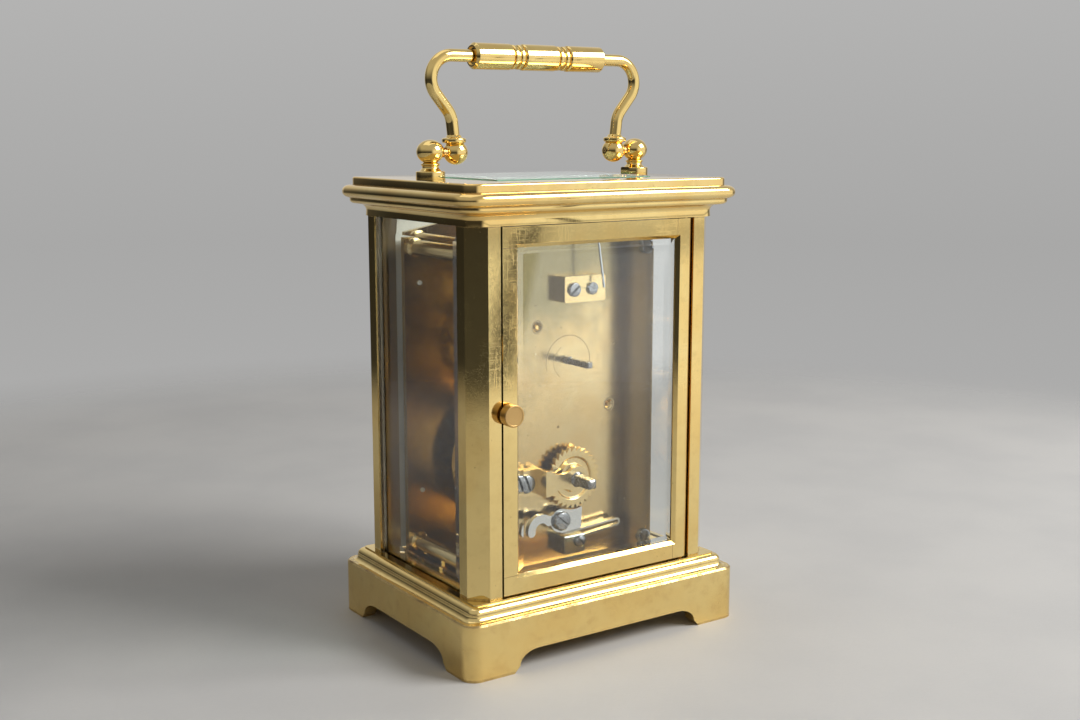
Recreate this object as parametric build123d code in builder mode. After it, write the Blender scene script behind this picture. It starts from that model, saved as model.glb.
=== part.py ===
from build123d import *
from math import acos, atan2, cos, degrees, hypot, pi, radians, sin, tan
import os

# A brass carriage clock for travelling: a glazed case on bracket feet, a folding handle,
# a hinged back door, and a spring-driven movement with a platform escapement on top.
# Millimetres, Z up from the table. The dial faces -Y and the back door faces +Y.

# Case, measured from the outer faces of its four posts
case_width = 70.8
case_depth = 53.8
post_height = 86.5
post_size = 7.2
post_chamfer = 3.9
tenon_radius = 1.6
tenon_length = 3.0

# Base with bracket feet
plinth_overhang = 4.9
plinth_height = 13.5
plinth_corner = 3.5
plinth_bevel = 0.4
ledge_overhang = 0.8
ledge_step = 0.35
ovolo_radius = 1.6
cove_radius = 1.4
moulding_flat = 0.05
ovolo_corner = 2.2
ovolo_lip = 0.15
ledge_corner = 0.9
hollow_corner = 1.5
base_wall = 3.4
floor_thickness = 3.4
foot_arch_height = 5.0
back_foot_length = 12.35
side_foot_length = 10.3
foot_flare = 1.5
flare_height = 1.6
back_arch_curve = 5.4
side_arch_curve = 6.4
case_screw_radius = 1.2
case_screw_head = 2.2
case_screw_head_height = 1.3
case_screw_reach = 6.0
frame_screw_radius = 0.9
frame_screw_head = 2.0
frame_screw_head_height = 1.2
frame_screw_reach = 2.4

# Cornice, from its underside upwards
fascia_overhang = 1.0
fascia_height = 0.8
cornice_cove_overhang = 3.15
cornice_cove_height = 3.8
cornice_step = 0.3
torus_overhang = 4.1
torus_height = 2.7
torus_round = 0.7
top_plate_overhang = 1.9
top_plate_height = 2.0
top_plate_round = 0.25
top_plate_corner = 2.2
cornice_wall = 7.9
cornice_side_wall = 5.9
cornice_ceiling = 3.7
mould_core = 0.95
mould_corner = 0.6
cove_lip = 0.1
top_light_width = 45.0
top_light_depth = 33.0

# Glass
glass_thickness = 2.2
glass_setback = 1.2
glass_groove = 1.5
glass_sill = 1.2
pane_clearance = 0.05
pane_end_gap = 0.1
bevel_width = 3.5
bevel_drop = 0.7
top_glass_thickness = 2.65
top_glass_rest = 2.0
top_glass_proud = 0.65
top_bevel_width = 2.6
top_bevel_drop = 0.45

# Back door
door_thickness = 3.0
door_bottom_gap = 0.3
door_top_gap = 0.2
door_lock_gap = 0.5
door_hinge_gap = 0.2
door_stop_gap = 0.15
door_stop_lip = 1.9
hinge_stile_width = 4.9
lock_stile_width = 4.6
bottom_rail_height = 4.5
top_rail_height = 4.8
door_edge_chamfer = 0.8
door_glass_thickness = 2.0
door_glass_rest = 1.2
door_bevel_width = 3.0
pivot_pin_radius = 0.75
pivot_pin_reach = 2.3
pivot_pin_grip = 6.0
knob_radius = 2.6
knob_height = 3.0
knob_neck_radius = 1.6
knob_neck_height = 0.6
knob_shank_radius = 0.8
knob_from_edge = 1.2
knob_edge = 0.25
knob_shank_length = 2.2
knob_z_share = 0.504
catch_length = 14.0
catch_width = 2.0
catch_thickness = 0.3
catch_bow = 0.95
catch_pocket = 0.9
catch_rise = 15.0

# Handle, turned and bent from rod, folding on two ball-headed posts
handle_post_x = 30.5
handle_pivot_height = 6.2
post_ring_radius = 3.5
post_ring_height = 1.9
post_neck_radius = 1.95
post_ball_radius = 3.3
post_ball_flattening = 0.45
post_stud_radius = 1.2
post_stud_length = 5.0
post_ring_edge = 0.2
post_waist_flare = 0.45
post_waist_rise = 0.4
post_ball_lift = 0.2
ball_flat = 0.3
screw_flat = 0.45
handle_ball_radius = 2.95
handle_ball_gap = 0.65
pivot_shoulder_radius = 1.15
pivot_thread_radius = 0.9
pivot_thread_length = 3.0
pivot_head_radius = 1.7
pivot_head_height = 1.0
pivot_head_taper = 0.3
pivot_slot_width = 0.4
pivot_slot_depth = 0.45
collar_radius = 2.9
collar_height = 1.5
collar_lift = 3.1
collar_neck_radius = 1.9
collar_foot = 0.8
collar_edge = 0.1
rod_foot_lift = 1.0
rod_foot_lean = 0.4
rod_radius = 1.5
rod_bow_radius = 5.5
rod_shoulder_radius = 7.0
rod_outset = 6.4
grip_lift = 22.6
grip_half_length = 18.9
grip_radius = 3.15
grip_bead_radius = 2.95
grip_neck_radius = 2.5
grip_bead_width = 1.7
grip_bead_start = 4.9
grip_end_chamfer = 0.5
grip_edge = 0.25
grip_bead_edge = 0.1
grip_mouth = 0.6
grip_mouth_depth = 0.4
grip_bore_depth = 3.9

# Movement frame
plate_thickness = 1.6
door_to_plate = 14.9
dial_space = 4.4
movement_side_gap = 5.0
platform_drop = 5.4
pillar_radius = 2.0
pillar_collar_radius = 2.45
pillar_inset = 2.4
pillar_tenon_radius = 1.1
pillar_collar_length = 1.5
pillar_groove = 0.3
pillar_groove_start = 1.9
pillar_groove_end = 2.5
pillar_body_start = 2.9
pillar_screw_reach = 3.6
pillar_screw_head = 1.9
pillar_screw_height = 1.1
small_screw_head = 1.55
small_screw_height = 0.9
cock_screw_head = 1.75
screw_shank_radius = 0.8
fit_gap = 0.02
run_gap = 0.05
hole_gap = 0.1
hole_end_gap = 0.2
oil_sink_radius = 1.3
oil_sink_depth = 0.7
oil_sink_floor = 0.55
dial_foot_radius = 0.6
dial_foot_collar = 1.2
minute_stud_radius = 0.7
platform_screw_radius = 0.55
platform_screw_reach = 2.0
barrel_front_pivot = 1.5
contrate_opening = 1.6
plate_screw_end = 0.3

# Arbors: heights above the base's top, and distances to the side of the centre line
barrel_rise = 22.4
centre_rise = 51.7
intermediate_x = -13.1
intermediate_rise = 39.1
third_x = 8.8
third_rise = 60.5
contrate_rise = 69.5

# Going train, as numbers of teeth
barrel_teeth = 84
intermediate_leaves = 14
intermediate_teeth = 72
centre_leaves = 12
centre_teeth = 64
third_leaves = 8
third_teeth = 60
contrate_leaves = 8
contrate_teeth = 70
escape_leaves = 7
escape_teeth = 15
wheel_thickness = 1.0
great_wheel_thickness = 2.0
arbor_radius = 0.9
pivot_radius = 0.45
arbor_play = 0.15
pinion_overlap = 0.6
pinion_lead = 0.8
intermediate_wheel_place = 2.6
centre_wheel_place = 9.6
third_wheel_place = 7.4
centre_tube_radius = 1.75
centre_tube_tail = 2.5
hub_radius = 3.2
spoke_width = 1.5
rim_share = 0.8

# Barrel and winding work
drum_radius = 16.9
drum_wall = 0.9
drum_front_gap = 5.0
drum_back_gap = 1.0
cap_thickness = 1.1
barrel_core_radius = 3.2
barrel_pivot_radius = 2.05
spring_thickness = 0.4
spring_turns = 11
ratchet_teeth = 30
ratchet_radius = 7.8
ratchet_tooth_depth = 1.0
ratchet_thickness = 1.2
ratchet_standoff = 1.9
ratchet_square = 3.0
ratchet_seat_radius = 2.7
ratchet_neck_radius = 1.45
ring_inner = (3.3, 3.6)
ring_outer = (5.0, 5.5)
ring_depth = 0.5
square_chamfer = 0.35
barrel_bearing_radius = 2.3
barrel_shoulder_radius = 2.6
cap_gap = 0.3
bridge_thickness = 1.2
bridge_gap = 0.5
bridge_width = 6.4
bridge_end_radius = 3.3
bridge_screw_x = 13.0
bridge_foot_length = 4.0
bridge_step = 3.6
bridge_waist = 0.64
bridge_waist_shift = 0.4
bridge_neck_x = 1.2
bridge_neck_inset = 0.25
bridge_screw_head = 2.3
bridge_screw_height = 1.2
winding_pivot_radius = 1.9
winding_square = 2.5
winding_square_length = 6.4
click_x = 3.9
click_rise = 12.1
click_hub_radius = 2.95
click_clearance = 0.2
click_rest_gap = 0.06
click_spring_thickness = 0.5
click_spring_width = 1.4
click_block_height = 4.6
click_block_width = 6.3
click_block_depth = 4.0
click_shoulder_radius = 1.1
click_collar_radius = 1.7
click_head_radius = 2.4
click_head_height = 1.3
click_float = 0.08
hairpin_radius = 0.85
hook_radius = 2.9
hook_width = 2.2
cock_left = -9.0
cock_right = 3.2
cock_half_height = 3.2
cock_depth = 3.6
cock_corner = 0.5
cock_screw_radius = 0.9
cock_screw_depth = 1.1
cock_pivot_depth = 2.0

# Motion work and hands, in front of the front plate
cannon_leaves = 12
minute_wheel_teeth = 36
minute_wheel_leaves = 10
hour_wheel_teeth = 40
motion_distance = 7.2
motion_gap = 0.15
minute_layer = 0.6
hour_layer = 0.5
centre_arbor_radius = 1.0
cannon_tube_radius = 1.0
hour_tube_radius = 1.6
dial_thickness = 0.5
dial_gap = 0.2
dial_mask_thickness = 0.5
dial_edge_gap = 0.3
mask_window_width = 43.0
mask_window_height = 54.0
hand_thickness = 0.3
hand_gap = 0.3
minute_hand_length = 18.5
hour_hand_length = 12.5
hour_hub_radius = 2.3
hour_hand_width = 1.1
minute_hub_radius = 1.5
minute_hand_width = 0.8
mask_corner = 2.0
set_arbor_reach = 9.8
set_square = 1.5
set_round_length = 1.5
set_collar_radius = 1.6
set_collar_length = 1.4
set_chamfer = 0.2
hand_pivot_radius = 0.5
layer_gap = 0.1
arbor_end = 0.3

# Platform escapement
platform_width = 34.0
platform_offset = -4.0
platform_thickness = 1.4
platform_corner = 1.0
platform_screw_inset = 2.2
platform_screw_head = 1.2
platform_screw_height = 0.8
jewel_radius = 0.25
jewel_depth = 0.4
fine_play = 0.15
fine_arbor_radius = 0.4
potence_half = 1.5
potence_gap = 3.0
potence_thickness = 1.4
potence_foot = 0.8
cock_foot_radius = 0.6
train_cock_screw_head = 1.1
train_cock_screw_height = 0.6
balance_cock_screw_head = 1.4
escape_y = -1.0
escape_radius = 3.4
escape_wheel_thickness = 0.4
escape_lift = 1.0
escape_foot_lift = 4.0
pallet_clearance = 0.45
pallet_distance = 4.6
balance_distance = 4.3
balance_radius = 7.2
balance_rim = 0.9
balance_thickness = 0.9
balance_lift = 3.8
cock_lift = 2.4
cock_thickness = 0.8
train_cock_width = 3.2
train_cock_length = 2.8
train_cock_reach = 7.2
balance_cock_inset = 3.0
roller_radius = 1.0
roller_thickness = 0.3
balance_hub_radius = 1.1
balance_arm_width = 1.2
balance_screws = 12
balance_screw_radius = 0.32
balance_screw_length = 0.65
staff_radius = 0.4
hairspring_turns = 6
hairspring_lift = 5.3
hairspring_outer = 4.4
hairspring_inner = 0.62
hairspring_thickness = 0.12
hairspring_width = 0.45
hairspring_stud = 0.7
balance_cock_lift = 6.3
balance_cock_thickness = 1.1
balance_cock_end = 2.2
balance_cock_neck = 1.7
balance_cock_half_width = 2.6
balance_cock_tail = 2.4
cap_radius = 1.1
index_ring_radius = 2.1
index_thickness = 0.4
index_tail_radius = 0.3

# Worked-out levels and places
half_width = case_width / 2
half_depth = case_depth / 2
base_top = plinth_height + cove_radius + moulding_flat + ovolo_radius + ledge_step
cornice_bottom = base_top + post_height
cove_start = cornice_bottom + fascia_height
cove_end = cove_start + cornice_cove_height
torus_bottom = cove_end + cornice_step
torus_top = torus_bottom + torus_height
case_top = torus_top + top_plate_height
post_inner_x = half_width - post_size
post_inner_y = half_depth - post_size
post_places = [
    (sx * (half_width - post_size / 2), sy * (half_depth - post_size / 2)) for sx in (-1, 1) for sy in (-1, 1)
]
glass_outer_x = half_width - glass_setback
glass_outer_y = half_depth - glass_setback
glass_inner_x = glass_outer_x - glass_thickness
glass_inner_y = glass_outer_y - glass_thickness

movement_back = half_depth - door_to_plate
back_inner = movement_back - plate_thickness
front_outer = dial_space - glass_inner_y
front_inner = front_outer + plate_thickness
plate_top = cornice_bottom - platform_drop
plate_half = glass_inner_x - movement_side_gap

barrel_at = (0.0, base_top + barrel_rise)
centre_at = (0.0, base_top + centre_rise)
intermediate_at = (intermediate_x, base_top + intermediate_rise)
third_at = (third_x, base_top + third_rise)
contrate_at = (0.0, base_top + contrate_rise)


def facing_back(x, y, z, turn=0.0):
    """A plane across the clock that looks out of the back, its x turned up from +X by an angle."""
    return Plane(origin=(x, y, z), x_dir=(cos(radians(turn)), 0, sin(radians(turn))), z_dir=(0, 1, 0))


def facing_front(x, y, z):
    """A plane across the clock that looks out of the dial side."""
    return Plane(origin=(x, y, z), x_dir=(-1, 0, 0), z_dir=(0, -1, 0))


def facing_up(x, y, z, turn=0.0):
    """A level plane that looks up, turned about Z."""
    return Plane(origin=(x, y, z), x_dir=(cos(radians(turn)), sin(radians(turn)), 0), z_dir=(0, 0, 1))


def facing_down(x, y, z, turn=0.0):
    """A level plane that looks down, turned about Z."""
    return Plane(origin=(x, y, z), x_dir=(cos(radians(turn)), sin(radians(turn)), 0), z_dir=(0, 0, -1))


def facing_side(x, y, z, side):
    """A plane that looks out of the clock's side: 1 for +X, -1 for -X."""
    return Plane(origin=(x, y, z), x_dir=(0, side, 0), z_dir=(side, 0, 0))


def turned(plane, steps, mode=Mode.ADD):
    """A lathe piece on the plane's normal, from (height above the plane, radius) pairs."""
    outline = [(0, steps[0][0])]
    for height, radius in steps + [(steps[-1][0], 0)]:
        if hypot(radius - outline[-1][0], height - outline[-1][1]) > 1e-6:
            outline.append((radius, height))
    upright = Plane(origin=plane.origin, x_dir=plane.x_dir, z_dir=-plane.y_dir)
    with BuildSketch(upright) as half_section:
        with BuildLine():
            Polyline(*outline, close=True)
        make_face()
    revolve(half_section.sketch, axis=Axis(plane.origin, plane.z_dir), mode=mode)


def slab(plane, width, height, thickness, mode=Mode.ADD, corner=0.0):
    """A plain rectangular block that stands on the plane, centred on its origin."""
    with BuildSketch(plane) as outline:
        if corner:
            RectangleRounded(width, height, corner)
        else:
            Rectangle(width, height)
    extrude(outline.sketch, amount=thickness, mode=mode)


def block(low, high, mode=Mode.ADD):
    """A plain box between two opposite corners."""
    size = [b - a for a, b in zip(low, high)]
    middle = [(a + b) / 2 for a, b in zip(low, high)]
    slab(facing_up(middle[0], middle[1], low[2]), size[0], size[1], size[2], mode)


def drilled(plane, radius, depth):
    """A round hole that goes from the plane into what lies behind it."""
    with BuildSketch(plane) as mouth:
        Circle(radius)
    extrude(mouth.sketch, amount=-depth, mode=Mode.SUBTRACT)


def slotted_screw(plane, length, head_radius, head_height, shank_radius=screw_shank_radius):
    """A cheese-head screw seated on the plane, its slot along the plane's x."""
    edge = 0.15
    turned(plane, [(-length, shank_radius), (0, shank_radius), (0, head_radius),
                   (head_height - edge, head_radius), (head_height, head_radius - edge)])
    slab(plane.offset(head_height), 2 * head_radius + 1, 0.2 * head_radius, -0.45 * head_height, Mode.SUBTRACT)


def bevelled_pane(plane, width, height, thickness, bevel, drop=bevel_drop):
    """A pane on the plane, with a wide flat bevel ground round its outer face."""
    slab(plane, width, height, thickness - drop)
    with BuildSketch(plane.offset(thickness - drop)) as edge_face:
        Rectangle(width, height)
    with BuildSketch(plane.offset(thickness)) as outer_face:
        Rectangle(width - 2 * bevel, height - 2 * bevel)
    loft([edge_face.sketch, outer_face.sketch], ruled=True)


def toothed_disc(plane, thickness, teeth, module, phase, tip, root, root_width, tip_width):
    """A disc with straight-flanked teeth: heights and widths of a tooth are given in modules."""
    pitch_radius = teeth * module / 2
    root_radius = pitch_radius - root * module
    tip_radius = pitch_radius + tip * module
    points = []
    for index in range(teeth):
        middle = radians(phase) + 2 * pi * index / teeth
        for radius, width, side in ((root_radius, root_width, -1), (tip_radius, tip_width, -1),
                                    (tip_radius, tip_width, 1), (root_radius, root_width, 1)):
            angle = middle + side * width * module / (2 * radius)
            points.append((radius * cos(angle), radius * sin(angle)))
    with BuildSketch(plane) as outline:
        with BuildLine():
            Polyline(*points, close=True)
        make_face()
    extrude(outline.sketch, amount=thickness)


def wheel_disc(plane, thickness, teeth, module, phase):
    """Wheel teeth, the driving side of a pair."""
    toothed_disc(plane, thickness, teeth, module, phase, tip=0.95, root=1.2, root_width=1.75, tip_width=0.7)


def pinion_disc(plane, thickness, leaves, module, phase):
    """Pinion leaves, the driven side of a pair."""
    toothed_disc(plane, thickness, leaves, module, phase, tip=0.75, root=1.35, root_width=1.2, tip_width=0.75)


def cross_out(plane, thickness, inner_radius, outer_radius, spokes, spoke_width):
    """The openings between a wheel's spokes."""
    with BuildSketch(plane) as openings:
        Circle(outer_radius)
        Circle(inner_radius, mode=Mode.SUBTRACT)
        with PolarLocations(0, spokes):
            Rectangle(2 * outer_radius, spoke_width, align=(Align.MIN, Align.CENTER), mode=Mode.SUBTRACT)
    extrude(openings.sketch, amount=thickness, mode=Mode.SUBTRACT)


def mesh_angle(arbor, other):
    """The direction from one arbor to another, as a plane that faces the back measures it."""
    return degrees(atan2(arbor[1] - other[1], other[0] - arbor[0]))


def pair_module(arbor, other, teeth, leaves):
    """The module that makes a wheel and a pinion meet between two arbors."""
    return 2 * hypot(arbor[0] - other[0], arbor[1] - other[1]) / (teeth + leaves)


def arch_sketch(plane, half_span, curve_run):
    """The opening between two bracket feet: a short flare, a quarter ellipse and a flat top."""
    flare_x = half_span - foot_flare
    curve_centre = flare_x - curve_run
    with BuildSketch(plane) as arch:
        with BuildLine():
            Polyline((0, 0), (half_span, 0), (flare_x, flare_height))
            EllipticalCenterArc((curve_centre, flare_height), curve_run, foot_arch_height - flare_height,
                                arc_size=90)
            Polyline((curve_centre, foot_arch_height), (0, foot_arch_height), (0, 0))
        make_face()
        mirror(about=Plane.YZ)
    return arch.sketch


def pane_grooves(level, depth):
    """Grooves for the two side panes and the front pane, cut down from a level."""
    reach = post_inner_y + glass_groove
    for side in (-1, 1):
        low, high = sorted((side * (glass_inner_x - pane_clearance), side * (glass_outer_x + pane_clearance)))
        block((low, -reach, level), (high, reach, level + depth), Mode.SUBTRACT)
    reach = post_inner_x + glass_groove
    block((-reach, -glass_outer_y - pane_clearance, level), (reach, -glass_inner_y + pane_clearance,
                                                             level + depth),
          Mode.SUBTRACT)


# Base: hollow plinth on bracket feet, with a cove and ovolo moulding up to the ledge
ovolo_overhang = ledge_overhang + ovolo_lip + ovolo_radius
floor_bottom = base_top - floor_thickness
hollow_width = case_width + 2 * (plinth_overhang - base_wall)
hollow_depth = case_depth + 2 * (plinth_overhang - base_wall)
door_axis = (door_hinge_gap + door_thickness / 2 - post_inner_x, half_depth - door_thickness / 2)
pillar_x = plate_half - pillar_inset
pillar_low_z = base_top + pillar_collar_radius + hole_gap
pillar_high_z = plate_top - pillar_collar_radius - hole_gap
movement_screw_y = (back_inner + front_inner) / 2
pivot_hole_depth = pivot_pin_reach + door_bottom_gap

with BuildPart() as base:
    with BuildSketch():
        RectangleRounded(case_width + 2 * plinth_overhang, case_depth + 2 * plinth_overhang, plinth_corner)
    extrude(amount=plinth_height)
    chamfer(base.edges().group_by(Axis.Z)[-1], plinth_bevel)
    with BuildSketch(Plane.XY.offset(plinth_height)):
        RectangleRounded(case_width + 2 * ovolo_overhang, case_depth + 2 * ovolo_overhang, ovolo_corner)
    extrude(amount=cove_radius + moulding_flat + ovolo_radius)
    fillet(base.edges().group_by(Axis.Z)[-1], ovolo_radius)
    foot_of_ovolo = base.edges().filter_by_position(Axis.Z, plinth_height - 0.01,
                                                    plinth_height + 0.01).filter_by(
        lambda edge: abs(edge.center().X) < half_width + ovolo_overhang + 0.1
        and abs(edge.center().Y) < half_depth + ovolo_overhang + 0.1)
    fillet(foot_of_ovolo, cove_radius)
    with BuildSketch(Plane.XY.offset(base_top - ledge_step)):
        RectangleRounded(case_width + 2 * ledge_overhang, case_depth + 2 * ledge_overhang, ledge_corner)
    extrude(amount=ledge_step)
    with BuildSketch():
        RectangleRounded(hollow_width, hollow_depth, hollow_corner)
    extrude(amount=floor_bottom, mode=Mode.SUBTRACT)
    extrude(arch_sketch(Plane.XZ, half_width + plinth_overhang - back_foot_length, back_arch_curve),
            amount=case_depth, both=True, mode=Mode.SUBTRACT)
    extrude(arch_sketch(Plane.YZ, half_depth + plinth_overhang - side_foot_length, side_arch_curve),
            amount=case_width, both=True, mode=Mode.SUBTRACT)
    pane_grooves(base_top - glass_sill, glass_sill)
    for x, y in post_places:
        drilled(facing_up(x, y, base_top), case_screw_radius + hole_gap, floor_thickness)
    for x in (-pillar_x, pillar_x):
        drilled(facing_up(x, movement_screw_y, base_top), frame_screw_radius + hole_gap, floor_thickness)
    drilled(facing_up(*door_axis, base_top), pivot_pin_radius + run_gap, pivot_hole_depth)
base.part.label = "base"


def case_post(side_x, side_y, with_stop):
    """One corner post: a square bar with a broad outer chamfer, pane grooves and a tenon."""
    def corner(x, y):
        return (side_x * x, side_y * y)

    outline = [corner(half_width, post_inner_y), corner(half_width, half_depth - post_chamfer),
               corner(half_width - post_chamfer, half_depth), corner(post_inner_x, half_depth)]
    if with_stop:
        stop_y = half_depth - door_thickness - door_stop_gap
        stop_x = post_inner_x - door_stop_lip
        outline += [corner(post_inner_x, stop_y), corner(stop_x, stop_y), corner(stop_x, post_inner_y)]
    else:
        outline += [corner(post_inner_x, post_inner_y)]
    with BuildSketch(Plane.XY.offset(base_top)) as section:
        with BuildLine():
            Polyline(*outline, close=True)
        make_face()
    extrude(section.sketch, amount=post_height)
    centre = corner(half_width - post_size / 2, half_depth - post_size / 2)
    turned(facing_up(*centre, cornice_bottom), [(0, tenon_radius), (tenon_length, tenon_radius)])
    drilled(facing_down(*centre, base_top), case_screw_radius + fit_gap, case_screw_reach + hole_end_gap)
    pane_grooves(base_top, post_height)


with BuildPart() as post_rear_lock:
    case_post(1, 1, with_stop=True)
post_rear_lock.part.label = "post_rear_lock"

with BuildPart() as post_rear_hinge:
    case_post(-1, 1, with_stop=True)
post_rear_hinge.part.label = "post_rear_hinge"

with BuildPart() as post_front_left:
    case_post(-1, -1, with_stop=False)
post_front_left.part.label = "post_front_left"

with BuildPart() as post_front_right:
    case_post(1, -1, with_stop=False)
post_front_right.part.label = "post_front_right"

# Cornice: a moulded ring round a hollow block, with a raised top plate and the top glass let into it
cavity_top = case_top - cornice_ceiling
glass_seat = case_top + top_glass_proud - top_glass_thickness
handle_post_places = [(-handle_post_x, 0), (handle_post_x, 0)]

with BuildPart() as cornice:
    cove_run = cornice_cove_overhang - fascia_overhang - cove_lip
    cove_bend = (cove_run ** 2 + cornice_cove_height ** 2) / (2 * cove_run)
    cove_turn = atan2(cornice_cove_height, cove_bend - cove_run) / 2
    side = half_width
    cove_foot = side + fascia_overhang + cove_lip
    cove_middle = (cove_foot + cove_bend * (1 - cos(cove_turn)), cove_start + cove_bend * sin(cove_turn))
    inner = side + mould_core - moulding_flat
    torus_side = side + torus_overhang
    with BuildLine(Plane.XY.offset(cornice_bottom)) as rail:
        with BuildSketch(Plane.XY.offset(cornice_bottom), mode=Mode.PRIVATE) as rail_shape:
            RectangleRounded(case_width + 2 * fascia_overhang, case_depth + 2 * fascia_overhang,
                             fascia_overhang - mould_corner)
        add(rail_shape.sketch.face().outer_wire())
    with BuildSketch(Plane.XZ) as moulding:
        with BuildLine():
            Polyline((inner, cornice_bottom), (side + fascia_overhang, cornice_bottom),
                     (side + fascia_overhang, cove_start), (cove_foot, cove_start))
            ThreePointArc((cove_foot, cove_start), cove_middle, (side + cornice_cove_overhang, cove_end))
            Polyline((side + cornice_cove_overhang, cove_end), (side + cornice_cove_overhang, torus_bottom),
                     (torus_side - torus_round, torus_bottom))
            RadiusArc((torus_side - torus_round, torus_bottom), (torus_side, torus_bottom + torus_round),
                      -torus_round)
            Line((torus_side, torus_bottom + torus_round), (torus_side, torus_top - torus_round))
            RadiusArc((torus_side, torus_top - torus_round), (torus_side - torus_round, torus_top),
                      -torus_round)
            Polyline((torus_side - torus_round, torus_top), (inner, torus_top), (inner, cornice_bottom))
        make_face()
    sweep()
    slab(Plane.XY.offset(cornice_bottom), case_width + 2 * mould_core, case_depth + 2 * mould_core,
         torus_top - cornice_bottom, corner=mould_core - mould_corner)
    slab(Plane.XY.offset(torus_top), case_width + 2 * top_plate_overhang, case_depth + 2 * top_plate_overhang,
         top_plate_height, corner=top_plate_corner)
    fillet(cornice.edges().group_by(Axis.Z)[-1], top_plate_round)
    block((cornice_wall - half_width, cornice_side_wall - half_depth, cornice_bottom),
          (half_width - cornice_wall, half_depth - cornice_side_wall, cavity_top), Mode.SUBTRACT)
    slab(Plane.XY.offset(glass_seat), top_light_width + 2 * pane_end_gap, top_light_depth + 2 * pane_end_gap,
         case_top - glass_seat, Mode.SUBTRACT)
    slab(Plane.XY.offset(cavity_top), top_light_width - 2 * top_glass_rest,
         top_light_depth - 2 * top_glass_rest,
         glass_seat - cavity_top, Mode.SUBTRACT)
    pane_grooves(cornice_bottom, glass_sill)
    for x, y in post_places:
        drilled(facing_down(x, y, cornice_bottom), tenon_radius + fit_gap, tenon_length + hole_end_gap)
    for x, y in handle_post_places:
        drilled(facing_up(x, y, case_top), post_stud_radius + fit_gap, post_stud_length + hole_end_gap)
    drilled(facing_down(*door_axis, cornice_bottom), pivot_pin_radius + run_gap, pivot_hole_depth)
cornice.part.label = "cornice"

with BuildPart() as top_glass:
    bevelled_pane(Plane.XY.offset(glass_seat), top_light_width, top_light_depth, top_glass_thickness,
                  top_bevel_width, top_bevel_drop)
top_glass.part.label = "top_glass"

# Fixed panes: their lower edges stand on the bottoms of the base's grooves
pane_bottom = base_top - glass_sill
pane_height = post_height + 2 * glass_sill - pane_end_gap
pane_middle = pane_bottom + pane_height / 2
side_pane_width = 2 * (post_inner_y + glass_groove - pane_end_gap)
front_pane_width = 2 * (post_inner_x + glass_groove - pane_end_gap)
pane_bevel = bevel_width + glass_groove

with BuildPart() as side_glass_left:
    bevelled_pane(facing_side(-glass_inner_x, 0, pane_middle, -1), side_pane_width, pane_height,
                  glass_thickness, pane_bevel)
side_glass_left.part.label = "side_glass_left"

with BuildPart() as side_glass_right:
    bevelled_pane(facing_side(glass_inner_x, 0, pane_middle, 1), side_pane_width, pane_height, glass_thickness,
                  pane_bevel)
side_glass_right.part.label = "side_glass_right"

with BuildPart() as front_glass:
    bevelled_pane(facing_front(0, -glass_inner_y, pane_middle), front_pane_width, pane_height, glass_thickness,
                  pane_bevel)
front_glass.part.label = "front_glass"

# Case screws: four up into the posts and two up into the movement's lower pillars
with BuildPart() as case_screws:
    for x, y in post_places:
        slotted_screw(facing_down(x, y, floor_bottom, 40), floor_thickness + case_screw_reach, case_screw_head,
                      case_screw_head_height, case_screw_radius)
    for x in (-pillar_x, pillar_x):
        slotted_screw(facing_down(x, movement_screw_y, floor_bottom, 15), floor_thickness + frame_screw_reach,
                      frame_screw_head, frame_screw_head_height, frame_screw_radius)
case_screws.part.label = "case_screws"

# Handle posts: turned, each with a ring foot, a waisted neck and a flattened ball
handle_pivot_z = case_top + handle_pivot_height
ball_face_x = handle_post_x - post_ball_radius + ball_flat
handle_ball_x = handle_post_x - post_ball_radius - handle_ball_gap - handle_ball_radius
inner_face_x = handle_ball_x - handle_ball_radius + screw_flat

with BuildPart() as handle_posts:
    ball_half = post_ball_radius - post_ball_flattening
    ball_z = case_top + handle_pivot_height + post_ball_lift
    neck_turn = -acos(post_neck_radius / post_ball_radius)
    neck_z = ball_z + ball_half * sin(neck_turn)
    ring_z = case_top + post_ring_height
    ring_x = handle_post_x + post_ring_radius
    neck_x = handle_post_x + post_neck_radius
    with BuildSketch(Plane.XZ):
        with BuildLine():
            Polyline((handle_post_x, ball_z + ball_half), (handle_post_x, case_top - post_stud_length),
                     (handle_post_x + post_stud_radius, case_top - post_stud_length),
                     (handle_post_x + post_stud_radius, case_top), (ring_x, case_top),
                     (ring_x, ring_z - post_ring_edge), (ring_x - post_ring_edge, ring_z))
            ThreePointArc((ring_x - post_ring_edge, ring_z),
                          (neck_x + post_waist_flare, ring_z + post_waist_rise), (neck_x, neck_z))
            EllipticalCenterArc((handle_post_x, ball_z), post_ball_radius, ball_half,
                                start_angle=degrees(neck_turn), arc_size=90 - degrees(neck_turn))
        make_face()
    revolve(axis=Axis((handle_post_x, 0, 0), (0, 0, 1)))
    ball_face = facing_side(ball_face_x, 0, handle_pivot_z, -1)
    slab(ball_face, post_ball_radius, post_ball_radius, post_ball_radius, Mode.SUBTRACT)
    drilled(ball_face, pivot_thread_radius + fit_gap, pivot_thread_length + hole_end_gap + hole_gap)
    mirror(about=Plane.YZ)
handle_posts.part.label = "handle_posts"

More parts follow.
